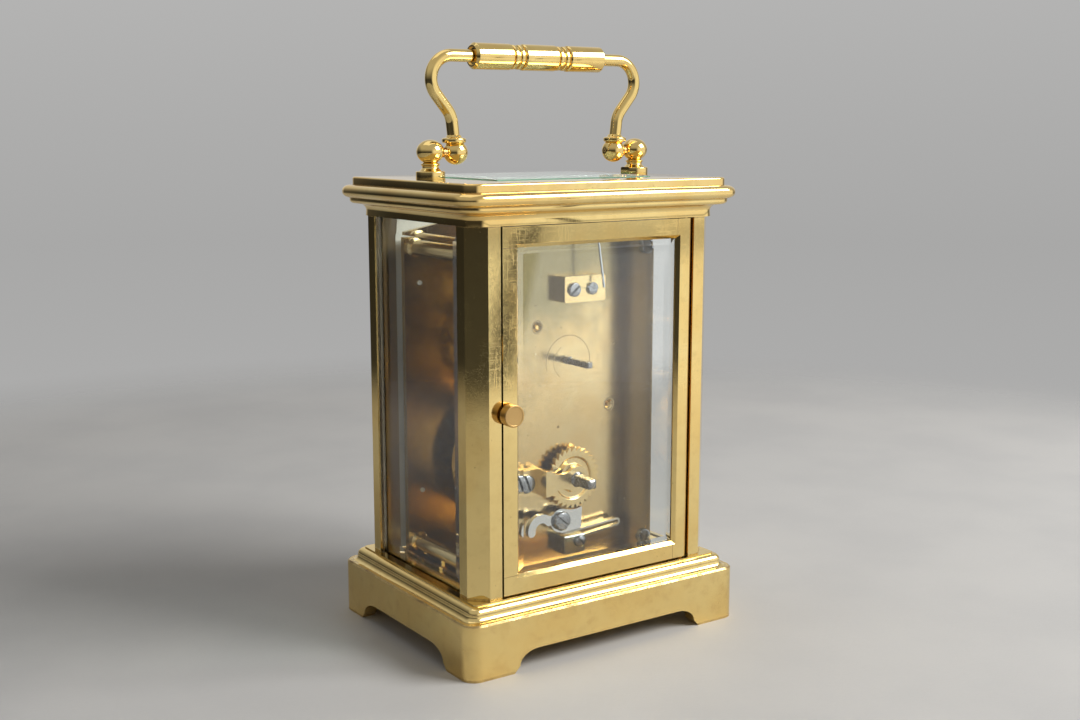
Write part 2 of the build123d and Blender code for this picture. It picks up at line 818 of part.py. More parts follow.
with BuildPart() as handle_pivot_screws:
    for toward in (-1, 1):
        screw_plane = facing_side(toward * -(inner_face_x - hole_gap), 0, handle_pivot_z, toward)
        shoulder = ball_face_x - inner_face_x + hole_gap
        turned(screw_plane, [(-shoulder - pivot_thread_length, pivot_thread_radius),
                             (-shoulder, pivot_thread_radius),
                             (-shoulder, pivot_shoulder_radius), (0, pivot_shoulder_radius),
                             (0, pivot_head_radius), (pivot_head_height, pivot_head_radius - pivot_head_taper)])
        slab(screw_plane.offset(pivot_head_height), 2 * pivot_head_radius, pivot_slot_width, -pivot_slot_depth,
             Mode.SUBTRACT)
handle_pivot_screws.part.label = "handle_pivot_screws"

# Handle arms: a drilled ball, a collar, and rod bent out, up and over into the grip
grip_z = handle_pivot_z + grip_lift
rod_top_x = handle_ball_x + rod_outset
collar_z = handle_pivot_z + collar_lift
lean = atan2(rod_top_x - handle_ball_x - rod_foot_lean, grip_lift - collar_lift - 1.25 * rod_bow_radius)
bend_z = grip_z - rod_bow_radius * (1 + tan(lean / 2)) - run_gap
rod_end_x = grip_half_length - grip_bore_depth


def handle_arm(side):
    """One arm of the handle, on the +X side for 1 and on the -X side for -1."""
    with BuildLine(Plane.XZ) as rod_line:
        FilletPolyline((side * handle_ball_x, handle_pivot_z + rod_foot_lift),
                       (side * (handle_ball_x + rod_foot_lean), collar_z + collar_height * rod_foot_lean),
                       (side * rod_top_x, bend_z), (side * rod_top_x, grip_z), (side * rod_end_x, grip_z),
                       radius=[rod_shoulder_radius, rod_bow_radius, rod_bow_radius])
    start = rod_line.line @ 0
    with BuildSketch(Plane(origin=start, z_dir=rod_line.line % 0)) as rod_section:
        Circle(rod_radius)
    sweep(rod_section.sketch, path=rod_line.line)
    with Locations((side * handle_ball_x, 0, handle_pivot_z)):
        Sphere(handle_ball_radius)
    turned(facing_up(side * (handle_ball_x + rod_foot_lean / 2), 0, collar_z - collar_height / 2),
           [(-collar_foot, collar_neck_radius), (0, collar_radius - collar_height / 2),
            (0.25 * collar_height, collar_radius - collar_edge), (collar_height / 2, collar_radius),
            (0.75 * collar_height, collar_radius - collar_edge), (collar_height, rod_radius + collar_edge)])
    inner_side = facing_side(side * inner_face_x, 0, handle_pivot_z, -side)
    slab(inner_side, 3 * handle_ball_radius, 3 * handle_ball_radius, handle_ball_radius, Mode.SUBTRACT)
    drilled(inner_side, pivot_shoulder_radius + run_gap, 2 * handle_ball_radius)


with BuildPart() as handle_arm_left:
    handle_arm(-1)
handle_arm_left.part.label = "handle_arm_left"

with BuildPart() as handle_arm_right:
    handle_arm(1)
handle_arm_right.part.label = "handle_arm_right"

with BuildPart() as handle_grip:
    bead_end = grip_bead_start + 2 * grip_bead_width
    bead_shoulder = grip_bead_radius - grip_bead_edge
    half_grip = [(grip_bead_start - grip_edge, grip_radius), (grip_bead_start, grip_radius - grip_edge)]
    for bead in range(2):
        bead_x = grip_bead_start + bead * grip_bead_width
        half_grip += [(bead_x, grip_neck_radius), (bead_x + 0.2 * grip_bead_width, bead_shoulder),
                      (bead_x + 0.5 * grip_bead_width, grip_bead_radius),
                      (bead_x + 0.8 * grip_bead_width, bead_shoulder),
                      (bead_x + grip_bead_width, grip_neck_radius)]
    half_grip += [(bead_end, grip_radius - grip_edge), (bead_end + grip_edge, grip_radius),
                  (grip_half_length - grip_end_chamfer, grip_radius),
                  (grip_half_length, grip_radius - grip_end_chamfer)]
    mirrored_grip = [(-x, radius) for x, radius in reversed(half_grip)]
    turned(facing_side(0, 0, grip_z, 1), mirrored_grip + half_grip)
    for side in (-1, 1):
        grip_end = facing_side(side * grip_half_length, 0, grip_z, side)
        drilled(grip_end, rod_radius + fit_gap, grip_bore_depth)
        drilled(grip_end, rod_radius + grip_mouth, grip_mouth_depth)
handle_grip.part.label = "handle_grip"

# Back door: a full-height hinge stile, two rails that run past the lock stile, and bevelled glass
door_outer = half_depth
door_inner = door_outer - door_thickness
door_left = door_hinge_gap - post_inner_x
door_right = post_inner_x - door_lock_gap
door_bottom = base_top + door_bottom_gap
door_top = cornice_bottom - door_top_gap
light_left = door_left + hinge_stile_width
light_right = door_right - lock_stile_width
light_bottom = door_bottom + bottom_rail_height
light_top = door_top - top_rail_height
light_middle = ((light_left + light_right) / 2, (light_bottom + light_top) / 2)
light_width = light_right - light_left
light_height = light_top - light_bottom
knob_x = door_right - knob_from_edge
knob_z = door_bottom + knob_z_share * (door_top - door_bottom)
catch_z = knob_z + catch_rise

with BuildPart() as door_light:
    slab(facing_back(light_middle[0], door_inner, light_middle[1]), light_width + 2 * door_glass_rest,
         light_height + 2 * door_glass_rest, door_glass_thickness)
    with BuildSketch(facing_back(light_middle[0], door_outer - door_edge_chamfer,
                                 light_middle[1])) as light_back:
        Rectangle(light_width, light_height)
    with BuildSketch(facing_back(light_middle[0], door_outer, light_middle[1])) as light_front:
        Rectangle(light_width + 2 * door_edge_chamfer, light_height + 2 * door_edge_chamfer)
    loft([light_back.sketch, light_front.sketch], ruled=True)

with BuildPart() as door_hinge_stile:
    block((door_axis[0], door_inner, door_bottom), (light_left, door_outer, door_top))
    turned(facing_up(*door_axis, door_bottom), [(0, door_thickness / 2),
                                                (door_top - door_bottom, door_thickness / 2)])
    add(door_light.part, mode=Mode.SUBTRACT)
    drilled(facing_down(*door_axis, door_bottom), pivot_pin_radius + fit_gap, pivot_pin_grip)
    drilled(facing_up(*door_axis, door_top), pivot_pin_radius + fit_gap, pivot_pin_grip)
door_hinge_stile.part.label = "door_hinge_stile"

with BuildPart() as door_lock_stile:
    block((light_right, door_inner, light_bottom), (door_right, door_outer, light_top))
    add(door_light.part, mode=Mode.SUBTRACT)
    drilled(facing_back(knob_x, door_outer, knob_z), knob_shank_radius + fit_gap,
            knob_shank_length + hole_end_gap)
    slab(facing_side(door_right, (door_inner + door_outer) / 2, catch_z, 1), catch_width + hole_gap,
         catch_length + hole_gap, -catch_pocket, Mode.SUBTRACT)
door_lock_stile.part.label = "door_lock_stile"

with BuildPart() as door_bottom_rail:
    block((light_left, door_inner, door_bottom), (door_right, door_outer, light_bottom))
    add(door_light.part, mode=Mode.SUBTRACT)
door_bottom_rail.part.label = "door_bottom_rail"

with BuildPart() as door_top_rail:
    block((light_left, door_inner, light_top), (door_right, door_outer, door_top))
    add(door_light.part, mode=Mode.SUBTRACT)
door_top_rail.part.label = "door_top_rail"

with BuildPart() as door_glass:
    bevelled_pane(facing_back(light_middle[0], door_inner, light_middle[1]),
                  light_width + 2 * (door_glass_rest - fit_gap),
                  light_height + 2 * door_glass_rest, door_glass_thickness, door_bevel_width + door_glass_rest)
door_glass.part.label = "door_glass"

with BuildPart() as door_knob:
    turned(facing_back(knob_x, door_outer, knob_z),
           [(-knob_shank_length, knob_shank_radius), (0, knob_shank_radius), (0, knob_neck_radius),
            (knob_neck_height, knob_neck_radius), (knob_neck_height, knob_radius - knob_edge),
            (knob_neck_height + knob_edge, knob_radius), (knob_height - knob_edge, knob_radius),
            (knob_height, knob_radius - knob_edge)])
door_knob.part.label = "door_knob"

with BuildPart() as door_catch_spring:
    pocket_x = door_right - catch_pocket
    low_z = catch_z - catch_length / 2
    high_z = catch_z + catch_length / 2
    with BuildSketch(facing_back(0, (door_inner + door_outer - catch_width) / 2, 0)):
        with BuildLine():
            ThreePointArc((pocket_x, -low_z), (pocket_x + catch_bow, -catch_z), (pocket_x, -high_z))
            Line((pocket_x, -high_z), (pocket_x + catch_thickness, -high_z))
            ThreePointArc((pocket_x + catch_thickness, -high_z),
                          (pocket_x + catch_bow + catch_thickness, -catch_z),
                          (pocket_x + catch_thickness, -low_z))
            Line((pocket_x + catch_thickness, -low_z), (pocket_x, -low_z))
        make_face()
    extrude(amount=catch_width)
door_catch_spring.part.label = "door_catch_spring"

with BuildPart() as door_pivot_pins:
    turned(facing_up(*door_axis, door_bottom), [(-pivot_pin_reach, pivot_pin_radius),
                                                (pivot_pin_grip, pivot_pin_radius)])
    turned(facing_up(*door_axis, door_top), [(-pivot_pin_grip, pivot_pin_radius),
                                             (pivot_pin_reach, pivot_pin_radius)])
door_pivot_pins.part.label = "door_pivot_pins"

# Movement plates, pierced for the arbors and held apart by four turned pillars
pillar_places = [(sx * pillar_x, z) for sx in (-1, 1) for z in (pillar_low_z, pillar_high_z)]
dial_foot_x = plate_half - 4.2
dial_foot_places = [(sx * dial_foot_x, z) for sx in (-1, 1) for z in (contrate_at[1], barrel_at[1] - 6.8)]
plain_pivots = [intermediate_at, third_at]
platform_screw_xs = [platform_offset + side * (platform_width / 2 - platform_screw_inset) for side in (-1, 1)]
plate_middle_z = (base_top + plate_top) / 2
ratchet_back = movement_back + ratchet_standoff
ratchet_face = ratchet_back + ratchet_thickness
bridge_back = ratchet_face + bridge_gap
bridge_face = bridge_back + bridge_thickness
click_at = (click_x, base_top + click_rise)
click_block_x = 0.15
click_block_low = base_top + 3.3
click_block_screw = (-1.2, click_block_low + 3.0)
contrate_screws = [(0.5, contrate_at[1]), (-4.9, contrate_at[1])]
minute_at = (-motion_distance * sin(radians(45)), centre_at[1] - motion_distance * cos(radians(45)))

with BuildPart() as back_plate:
    slab(facing_back(0, back_inner, plate_middle_z), 2 * plate_half, plate_top - base_top, plate_thickness)
    for x, z in plain_pivots:
        drilled(facing_back(x, movement_back, z), pivot_radius + run_gap, plate_thickness)
        turned(facing_back(x, movement_back, z), [(-oil_sink_depth, oil_sink_floor), (0, oil_sink_radius)],
               Mode.SUBTRACT)
    for x, z in pillar_places:
        drilled(facing_back(x, movement_back, z), screw_shank_radius + hole_gap, plate_thickness)
    drilled(facing_back(barrel_at[0], movement_back, barrel_at[1]), barrel_pivot_radius + run_gap,
            plate_thickness)
    drilled(facing_back(centre_at[0], movement_back, centre_at[1]), centre_arbor_radius + run_gap,
            plate_thickness)
    drilled(facing_back(contrate_at[0], movement_back, contrate_at[1]), contrate_opening, plate_thickness)
    for x, z in [(bridge_screw_x, barrel_at[1]), click_at, click_block_screw, contrate_screws[1]]:
        drilled(facing_back(x, movement_back, z), screw_shank_radius + fit_gap, plate_thickness - hole_end_gap)
    for x in platform_screw_xs:
        drilled(facing_up(x, movement_back - plate_thickness / 2, plate_top), platform_screw_radius + fit_gap,
                platform_screw_reach + hole_end_gap)
back_plate.part.label = "back_plate"

with BuildPart() as front_plate:
    slab(facing_back(0, front_outer, plate_middle_z), 2 * plate_half, plate_top - base_top, plate_thickness)
    for x, z in plain_pivots + [contrate_at]:
        drilled(facing_back(x, front_inner, z), pivot_radius + run_gap, plate_thickness)
    for x, z in pillar_places:
        drilled(facing_back(x, front_inner, z), pillar_tenon_radius + fit_gap, plate_thickness)
    for x, z in dial_foot_places:
        drilled(facing_back(x, front_inner, z), dial_foot_radius + fit_gap, plate_thickness)
    for x in platform_screw_xs:
        drilled(facing_up(x, front_outer + plate_thickness / 2, plate_top), platform_screw_radius + fit_gap,
                platform_screw_reach + hole_end_gap)
    drilled(facing_back(barrel_at[0], front_inner, barrel_at[1]), barrel_front_pivot + run_gap, plate_thickness)
    drilled(facing_back(centre_at[0], front_inner, centre_at[1]), centre_arbor_radius + run_gap,
            plate_thickness)
    drilled(facing_back(minute_at[0], front_inner, minute_at[1]), minute_stud_radius + fit_gap, plate_thickness)
front_plate.part.label = "front_plate"

with BuildPart() as movement_pillars:
    pillar_end = [(0, pillar_collar_radius), (pillar_collar_length, pillar_collar_radius),
                  (pillar_groove_start, pillar_radius - pillar_groove),
                  (pillar_groove_end, pillar_radius - pillar_groove),
                  (pillar_body_start, pillar_radius)]
    for x, z in pillar_places:
        turned(facing_back(x, 0, z),
               [(front_outer, pillar_tenon_radius), (front_inner, pillar_tenon_radius)]
               + [(front_inner + step, radius) for step, radius in pillar_end]
               + [(back_inner - step, radius) for step, radius in reversed(pillar_end)])
        drilled(facing_back(x, back_inner, z), screw_shank_radius + fit_gap, pillar_screw_reach + hole_end_gap)
    for x in (-pillar_x, pillar_x):
        drilled(facing_down(x, movement_screw_y, base_top), frame_screw_radius + fit_gap,
                frame_screw_reach + hole_end_gap)
movement_pillars.part.label = "movement_pillars"

# Back plate fittings: the contrate cock, the winding bridge, the click work and their screws
cock_face = movement_back + cock_depth

with BuildPart() as contrate_cock:
    block((cock_left, movement_back, contrate_at[1] - cock_half_height),
          (cock_right, cock_face, contrate_at[1] + cock_half_height))
    fillet(contrate_cock.edges().filter_by(Axis.Y), cock_corner)
    drilled(facing_front(0, movement_back, contrate_at[1]), pivot_radius + run_gap, cock_pivot_depth)
    drilled(facing_back(contrate_screws[0][0], cock_face, contrate_at[1]), cock_screw_radius + fit_gap,
            cock_screw_depth + hole_gap)
    drilled(facing_back(contrate_screws[1][0], cock_face, contrate_at[1]), screw_shank_radius + fit_gap,
            cock_depth)
contrate_cock.part.label = "contrate_cock"

with BuildPart() as winding_bridge:
    bridge_z = barrel_at[1]
    foot_end = bridge_screw_x + bridge_foot_length
    step_x = bridge_screw_x - bridge_step
    waist_z = bridge_waist * bridge_width / 2
    neck_z = bridge_end_radius - bridge_neck_inset
    block((step_x - bridge_thickness, movement_back, bridge_z - bridge_width / 2),
          (foot_end, movement_back + bridge_thickness, bridge_z + bridge_width / 2))
    block((step_x - bridge_thickness, movement_back, bridge_z - bridge_width / 2),
          (step_x, bridge_face, bridge_z + bridge_width / 2))
    waist_x = (step_x + bridge_end_radius) / 2 - bridge_waist_shift
    with BuildSketch(facing_back(0, bridge_back, bridge_z)):
        with BuildLine():
            Line((step_x, -bridge_width / 2), (step_x, bridge_width / 2))
            Line((step_x, bridge_width / 2), (step_x - bridge_thickness, bridge_width / 2))
            ThreePointArc((step_x - bridge_thickness, bridge_width / 2), (waist_x, waist_z),
                          (bridge_neck_x, neck_z))
            Line((bridge_neck_x, neck_z), (bridge_neck_x, -neck_z))
            ThreePointArc((bridge_neck_x, -neck_z), (waist_x, -waist_z),
                          (step_x - bridge_thickness, -bridge_width / 2))
            Line((step_x - bridge_thickness, -bridge_width / 2), (step_x, -bridge_width / 2))
        make_face()
        Circle(bridge_end_radius)
    extrude(amount=bridge_thickness)
    drilled(facing_back(0, bridge_face, bridge_z), winding_pivot_radius + run_gap, bridge_thickness)
    drilled(facing_back(bridge_screw_x, movement_back + bridge_thickness, bridge_z),
            screw_shank_radius + hole_gap, bridge_thickness)
winding_bridge.part.label = "winding_bridge"

# The click's underside and the click spring's upper limb follow one slightly raised line
limb_start = (3.0, base_top + 8.55)
limb_end = (-13.4, base_top + 9.8)
limb_slope = (limb_end[1] - limb_start[1]) / (limb_end[0] - limb_start[0])


def limb_height(x):
    """Height of the upper limb's middle line."""
    return limb_start[1] + limb_slope * (x - limb_start[0])


with BuildPart() as click:
    beak_x = -2.3
    underside = [limb_height(x) + click_spring_thickness / 2 + click_rest_gap for x in (click_x, beak_x)]
    beak_z = barrel_at[1] - ratchet_radius - click_clearance
    with BuildSketch(facing_back(0, ratchet_back, 0)):
        with Locations((click_at[0], -click_at[1])):
            Circle(click_hub_radius)
        with BuildLine():
            Polyline((click_x, -underside[0]), (beak_x, -underside[1]), (beak_x - 0.3, -beak_z - 0.15),
                     (beak_x, -beak_z - 0.35), (click_x, -beak_z - 0.5), close=True)
        make_face()
        hook = CenterArc((click_x + 5.7, -click_at[1] + 1.6), hook_radius, -140, 145, mode=Mode.PRIVATE)
        SlotArc(hook, hook_width)
        with Locations((click_x + 3.0, -click_at[1] - 0.6)):
            Rectangle(2.4, hook_width)
        with Locations((barrel_at[0], -barrel_at[1])):
            Circle(ratchet_radius + click_clearance, mode=Mode.SUBTRACT)
        with Locations((0, -limb_height(click_x) + 1.9)):
            Rectangle(14, 4.28 - click_spring_thickness, mode=Mode.SUBTRACT)
    extrude(amount=ratchet_thickness)
    turned(facing_back(click_at[0], movement_back, click_at[1]),
           [(click_float, click_collar_radius), (ratchet_standoff, click_collar_radius)])
    drilled(facing_back(click_at[0], ratchet_face, click_at[1]), click_shoulder_radius + run_gap,
            ratchet_face - movement_back)
click.part.label = "click"

with BuildPart() as click_spring:
    spring_y = ratchet_back - 0.1
    hairpin = (limb_end[0], -limb_end[1] + hairpin_radius)
    lower_start = (hairpin[0], hairpin[1] + hairpin_radius)
    lower_end = (click_block_x - click_block_width / 2 + 1.0, -(click_block_low + 3.7))
    half = click_spring_thickness / 2
    with BuildSketch(facing_back(0, spring_y, 0)):
        with BuildLine():
            outer_bend = hairpin_radius + half
            inner_bend = hairpin_radius - half
            Line((limb_start[0], -limb_start[1] - half), (hairpin[0], hairpin[1] - outer_bend))
            ThreePointArc((hairpin[0], hairpin[1] - outer_bend), (hairpin[0] - outer_bend, hairpin[1]),
                          (hairpin[0], hairpin[1] + outer_bend))
            Polyline((hairpin[0], hairpin[1] + outer_bend), (lower_end[0], lower_end[1] + half),
                     (lower_end[0], lower_end[1] - half), (hairpin[0], hairpin[1] + inner_bend))
            ThreePointArc((hairpin[0], hairpin[1] + inner_bend), (hairpin[0] - inner_bend, hairpin[1]),
                          (hairpin[0], hairpin[1] - inner_bend))
            Polyline((hairpin[0], hairpin[1] - inner_bend), (limb_start[0], -limb_start[1] + half),
                     (limb_start[0], -limb_start[1] - half))
        make_face()
    extrude(amount=click_spring_width)
click_spring.part.label = "click_spring"

with BuildPart() as click_spring_block:
    block((click_block_x - click_block_width / 2, movement_back, click_block_low),
          (click_block_x + click_block_width / 2, movement_back + click_block_depth,
           click_block_low + click_block_height))
    chamfer(click_spring_block.faces().sort_by(Axis.Y)[-1].edges(), 0.25)
    add(click_spring.part, mode=Mode.SUBTRACT)
    drilled(facing_back(click_block_screw[0], movement_back + click_block_depth, click_block_screw[1]),
            screw_shank_radius + run_gap, click_block_depth)
click_spring_block.part.label = "click_spring_block"

with BuildPart() as movement_screws:
    for x, z in pillar_places:
        slotted_screw(facing_back(x, movement_back, z, 35), plate_thickness + pillar_screw_reach,
                      pillar_screw_head, pillar_screw_height)
    slotted_screw(facing_back(contrate_screws[0][0], cock_face, contrate_at[1], -38), cock_screw_depth,
                  cock_screw_head, small_screw_height, cock_screw_radius)
    slotted_screw(facing_back(contrate_screws[1][0], cock_face, contrate_at[1], 20),
                  cock_depth + plate_thickness - plate_screw_end, small_screw_head, small_screw_height)
    slotted_screw(facing_back(bridge_screw_x, movement_back + bridge_thickness, barrel_at[1], 70),
                  bridge_thickness + plate_thickness - plate_screw_end, bridge_screw_head, bridge_screw_height)
    slotted_screw(facing_back(click_block_screw[0], movement_back + click_block_depth, click_block_screw[1],
                              50),
                  click_block_depth + plate_thickness - plate_screw_end, small_screw_head, small_screw_height)
    click_seat = facing_back(click_at[0], movement_back, click_at[1], 42)
    shoulder_top = ratchet_face - movement_back + click_float
    turned(click_seat, [(plate_screw_end - plate_thickness, screw_shank_radius), (0, screw_shank_radius),
                        (0, click_shoulder_radius), (shoulder_top, click_shoulder_radius)])
    slotted_screw(click_seat.offset(shoulder_top), shoulder_top / 4, click_head_radius, click_head_height,
                  click_shoulder_radius - run_gap)
movement_screws.part.label = "movement_screws"

# Barrel arbor, ratchet wheel, barrel with its great wheel and cap, and the mainspring
great_back = back_inner - drum_back_gap
drum_front = front_inner + drum_front_gap
great_module = pair_module(barrel_at, intermediate_at, barrel_teeth, intermediate_leaves)
spring_room = (drum_front + cap_thickness + cap_gap, great_back - drum_wall - cap_gap)

with BuildPart() as barrel_arbor:
    squares_end = bridge_face + winding_square_length
    turned(facing_back(barrel_at[0], 0, barrel_at[1]),
           [(front_outer, barrel_front_pivot), (front_inner + arbor_play, barrel_front_pivot),
            (front_inner + arbor_play, barrel_shoulder_radius), (drum_front - hole_gap, barrel_shoulder_radius),
            (drum_front - hole_gap, barrel_bearing_radius), (spring_room[0] - hole_gap, barrel_bearing_radius),
            (spring_room[0] - hole_gap, barrel_core_radius), (spring_room[1] + hole_gap, barrel_core_radius),
            (spring_room[1] + hole_gap, barrel_bearing_radius), (great_back + hole_gap, barrel_bearing_radius),
            (great_back + hole_gap, barrel_shoulder_radius), (back_inner - arbor_play, barrel_shoulder_radius),
            (back_inner - arbor_play, barrel_pivot_radius), (movement_back + hole_gap, barrel_pivot_radius),
            (movement_back + hole_gap, ratchet_seat_radius), (ratchet_back, ratchet_seat_radius),
            (ratchet_back, ratchet_neck_radius), (ratchet_face, ratchet_neck_radius),
            (ratchet_face, winding_pivot_radius), (bridge_face + hole_gap, winding_pivot_radius)])
    slab(facing_back(barrel_at[0], ratchet_back, barrel_at[1]), ratchet_square, ratchet_square,
         ratchet_thickness)
    slab(facing_back(barrel_at[0], bridge_face, barrel_at[1]), winding_square, winding_square,
         winding_square_length)
    chamfer(barrel_arbor.faces().sort_by(Axis.Y)[-1].edges(), square_chamfer)
barrel_arbor.part.label = "barrel_arbor"

with BuildPart() as ratchet_wheel:
    saw = []
    for tooth in range(ratchet_teeth):
        start = 2 * pi * tooth / ratchet_teeth
        for radius, share in ((ratchet_radius - ratchet_tooth_depth, 0.0), (ratchet_radius, 0.12),
                              (ratchet_radius, 0.2)):
            angle = start + share * 2 * pi / ratchet_teeth
            saw.append((radius * cos(angle), radius * sin(angle)))
    with BuildSketch(facing_back(barrel_at[0], ratchet_back, barrel_at[1])):
        with BuildLine():
            Polyline(*saw, close=True)
        make_face()
        Rectangle(ratchet_square + 2 * fit_gap, ratchet_square + 2 * fit_gap, mode=Mode.SUBTRACT)
    extrude(amount=ratchet_thickness)
    ratchet_plane = facing_back(barrel_at[0], ratchet_face, barrel_at[1])
    turned(ratchet_plane, [(-ring_depth, ring_outer[0]), (0, ring_outer[1])], Mode.SUBTRACT)
    turned(ratchet_plane, [(-ring_depth, ring_inner[1]), (-run_gap, ring_inner[0])])
    slab(facing_back(barrel_at[0], ratchet_back, barrel_at[1]), ratchet_square + 2 * fit_gap,
         ratchet_square + 2 * fit_gap, ratchet_thickness, Mode.SUBTRACT)
ratchet_wheel.part.label = "ratchet_wheel"

with BuildPart() as barrel:
    turned(facing_back(barrel_at[0], 0, barrel_at[1]), [(drum_front, drum_radius), (great_back, drum_radius)])
    wheel_disc(facing_back(barrel_at[0], great_back - great_wheel_thickness, barrel_at[1]),
               great_wheel_thickness, barrel_teeth, great_module, mesh_angle(barrel_at, intermediate_at))
    turned(facing_back(barrel_at[0], 0, barrel_at[1]),
           [(drum_front, drum_radius - drum_wall), (great_back - drum_wall, drum_radius - drum_wall)],
           Mode.SUBTRACT)
    drilled(facing_back(barrel_at[0], great_back, barrel_at[1]), barrel_bearing_radius + run_gap, drum_wall)
barrel.part.label = "barrel"

with BuildPart() as barrel_cap:
    turned(facing_back(barrel_at[0], 0, barrel_at[1]),
           [(drum_front, drum_radius - drum_wall - fit_gap),
            (drum_front + cap_thickness, drum_radius - drum_wall - fit_gap)])
    drilled(facing_back(barrel_at[0], drum_front + cap_thickness, barrel_at[1]),
            barrel_bearing_radius + run_gap, cap_thickness)
barrel_cap.part.label = "barrel_cap"


def spiral_strip(plane, inner_radius, outer_radius, turns, thickness, width):
    """A flat strip wound as an even spiral: its edges are splines a strip's thickness apart."""
    steps = 16 * turns
    inside, outside = [], []
    for step in range(steps + 1):
        angle = 2 * pi * turns * step / steps
        radius = inner_radius + (outer_radius - inner_radius) * step / steps
        for edge, offset_radius in ((inside, radius - thickness / 2), (outside, radius + thickness / 2)):
            edge.append((offset_radius * cos(angle), offset_radius * sin(angle)))
    with BuildSketch(plane) as strip:
        with BuildLine():
            Spline(*inside)
            Line(inside[-1], outside[-1])
            Spline(*reversed(outside))
            Line(outside[0], inside[0])
        make_face()
    extrude(strip.sketch, amount=width)


with BuildPart() as mainspring:
    spring_outer = drum_radius - drum_wall - spring_thickness / 2 - fit_gap
    spiral_strip(facing_back(barrel_at[0], spring_room[0], barrel_at[1]),
                 barrel_core_radius + spring_thickness / 2 + fit_gap,
                 spring_outer, spring_turns, spring_thickness, spring_room[1] - spring_room[0])
mainspring.part.label = "mainspring"

# Going train between the plates: each wheel rides on an arbor with its own pinion
middle_module = pair_module(intermediate_at, centre_at, intermediate_teeth, centre_leaves)
centre_module = pair_module(centre_at, third_at, centre_teeth, third_leaves)
third_module = pair_module(third_at, contrate_at, third_teeth, contrate_leaves)
intermediate_wheel_y = front_inner + intermediate_wheel_place
centre_wheel_y = front_inner + centre_wheel_place
third_wheel_y = back_inner - third_wheel_place
pinion_length = wheel_thickness + 2 * pinion_lead


def train_arbor(arbor):
    """A plain steel arbor between the plates, with a pivot at each end."""
    turned(facing_back(arbor[0], 0, arbor[1]),
           [(front_outer + 0.3, pivot_radius), (front_inner + arbor_play, pivot_radius),
            (front_inner + arbor_play, arbor_radius),
            (back_inner - arbor_play, arbor_radius), (back_inner - arbor_play, pivot_radius),
            (movement_back - 0.1, pivot_radius)])


with BuildPart() as intermediate_wheel:
    train_arbor(intermediate_at)
    wheel_plane = facing_back(intermediate_at[0], intermediate_wheel_y, intermediate_at[1])
    wheel_disc(wheel_plane, wheel_thickness, intermediate_teeth, middle_module,
               mesh_angle(intermediate_at, centre_at))
    cross_out(wheel_plane, wheel_thickness, hub_radius, rim_share * intermediate_teeth * middle_module / 2, 4,
              spoke_width)
    pinion_disc(facing_back(intermediate_at[0], great_back - great_wheel_thickness - pinion_overlap,
                            intermediate_at[1]),
                great_wheel_thickness + 2 * pinion_overlap, intermediate_leaves, great_module,
                mesh_angle(intermediate_at, barrel_at) + 180 / intermediate_leaves)
intermediate_wheel.part.label = "intermediate_wheel"

with BuildPart() as centre_wheel:
    tube_front = intermediate_wheel_y - pinion_lead
    tube_back = centre_wheel_y + centre_tube_tail
    turned(facing_back(centre_at[0], 0, centre_at[1]), [(tube_front, centre_tube_radius),
                                                        (tube_back, centre_tube_radius)])
    wheel_plane = facing_back(centre_at[0], centre_wheel_y, centre_at[1])
    wheel_disc(wheel_plane, wheel_thickness, centre_teeth, centre_module, mesh_angle(centre_at, third_at))
    cross_out(wheel_plane, wheel_thickness, hub_radius, rim_share * centre_teeth * centre_module / 2, 4,
              spoke_width)
    pinion_disc(facing_back(centre_at[0], tube_front, centre_at[1]), pinion_length, centre_leaves,
                middle_module, mesh_angle(centre_at, intermediate_at) + 180 / centre_leaves)
    drilled(facing_back(centre_at[0], tube_back, centre_at[1]), centre_arbor_radius + run_gap,
            tube_back - tube_front)
centre_wheel.part.label = "centre_wheel"

with BuildPart() as third_wheel:
    train_arbor(third_at)
    wheel_plane = facing_back(third_at[0], third_wheel_y, third_at[1])
    wheel_disc(wheel_plane, wheel_thickness, third_teeth, third_module, mesh_angle(third_at, contrate_at))
    cross_out(wheel_plane, wheel_thickness, 0.8 * hub_radius, rim_share * third_teeth * third_module / 2, 4,
              spoke_width)
    pinion_disc(facing_back(third_at[0], centre_wheel_y - pinion_lead, third_at[1]), pinion_length,
                third_leaves, centre_module, mesh_angle(third_at, centre_at) + 180 / third_leaves)
third_wheel.part.label = "third_wheel"

# The contrate wheel is a crown wheel: its teeth point along its arbor at the upright escape pinion
contrate_radius = 9.1
crown_plate = 0.8
contrate_module = 2 * contrate_radius / contrate_teeth
escape_pinion_radius = escape_leaves * contrate_module / 2
crown_pitch_y = escape_y - escape_pinion_radius
crown_root_y = crown_pitch_y - 1.3 * contrate_module
crown_tip_y = crown_pitch_y + 0.7 * contrate_module
crown_rim = 1.0
crown_hub_radius = 2.4
crown_spoke_width = 1.3

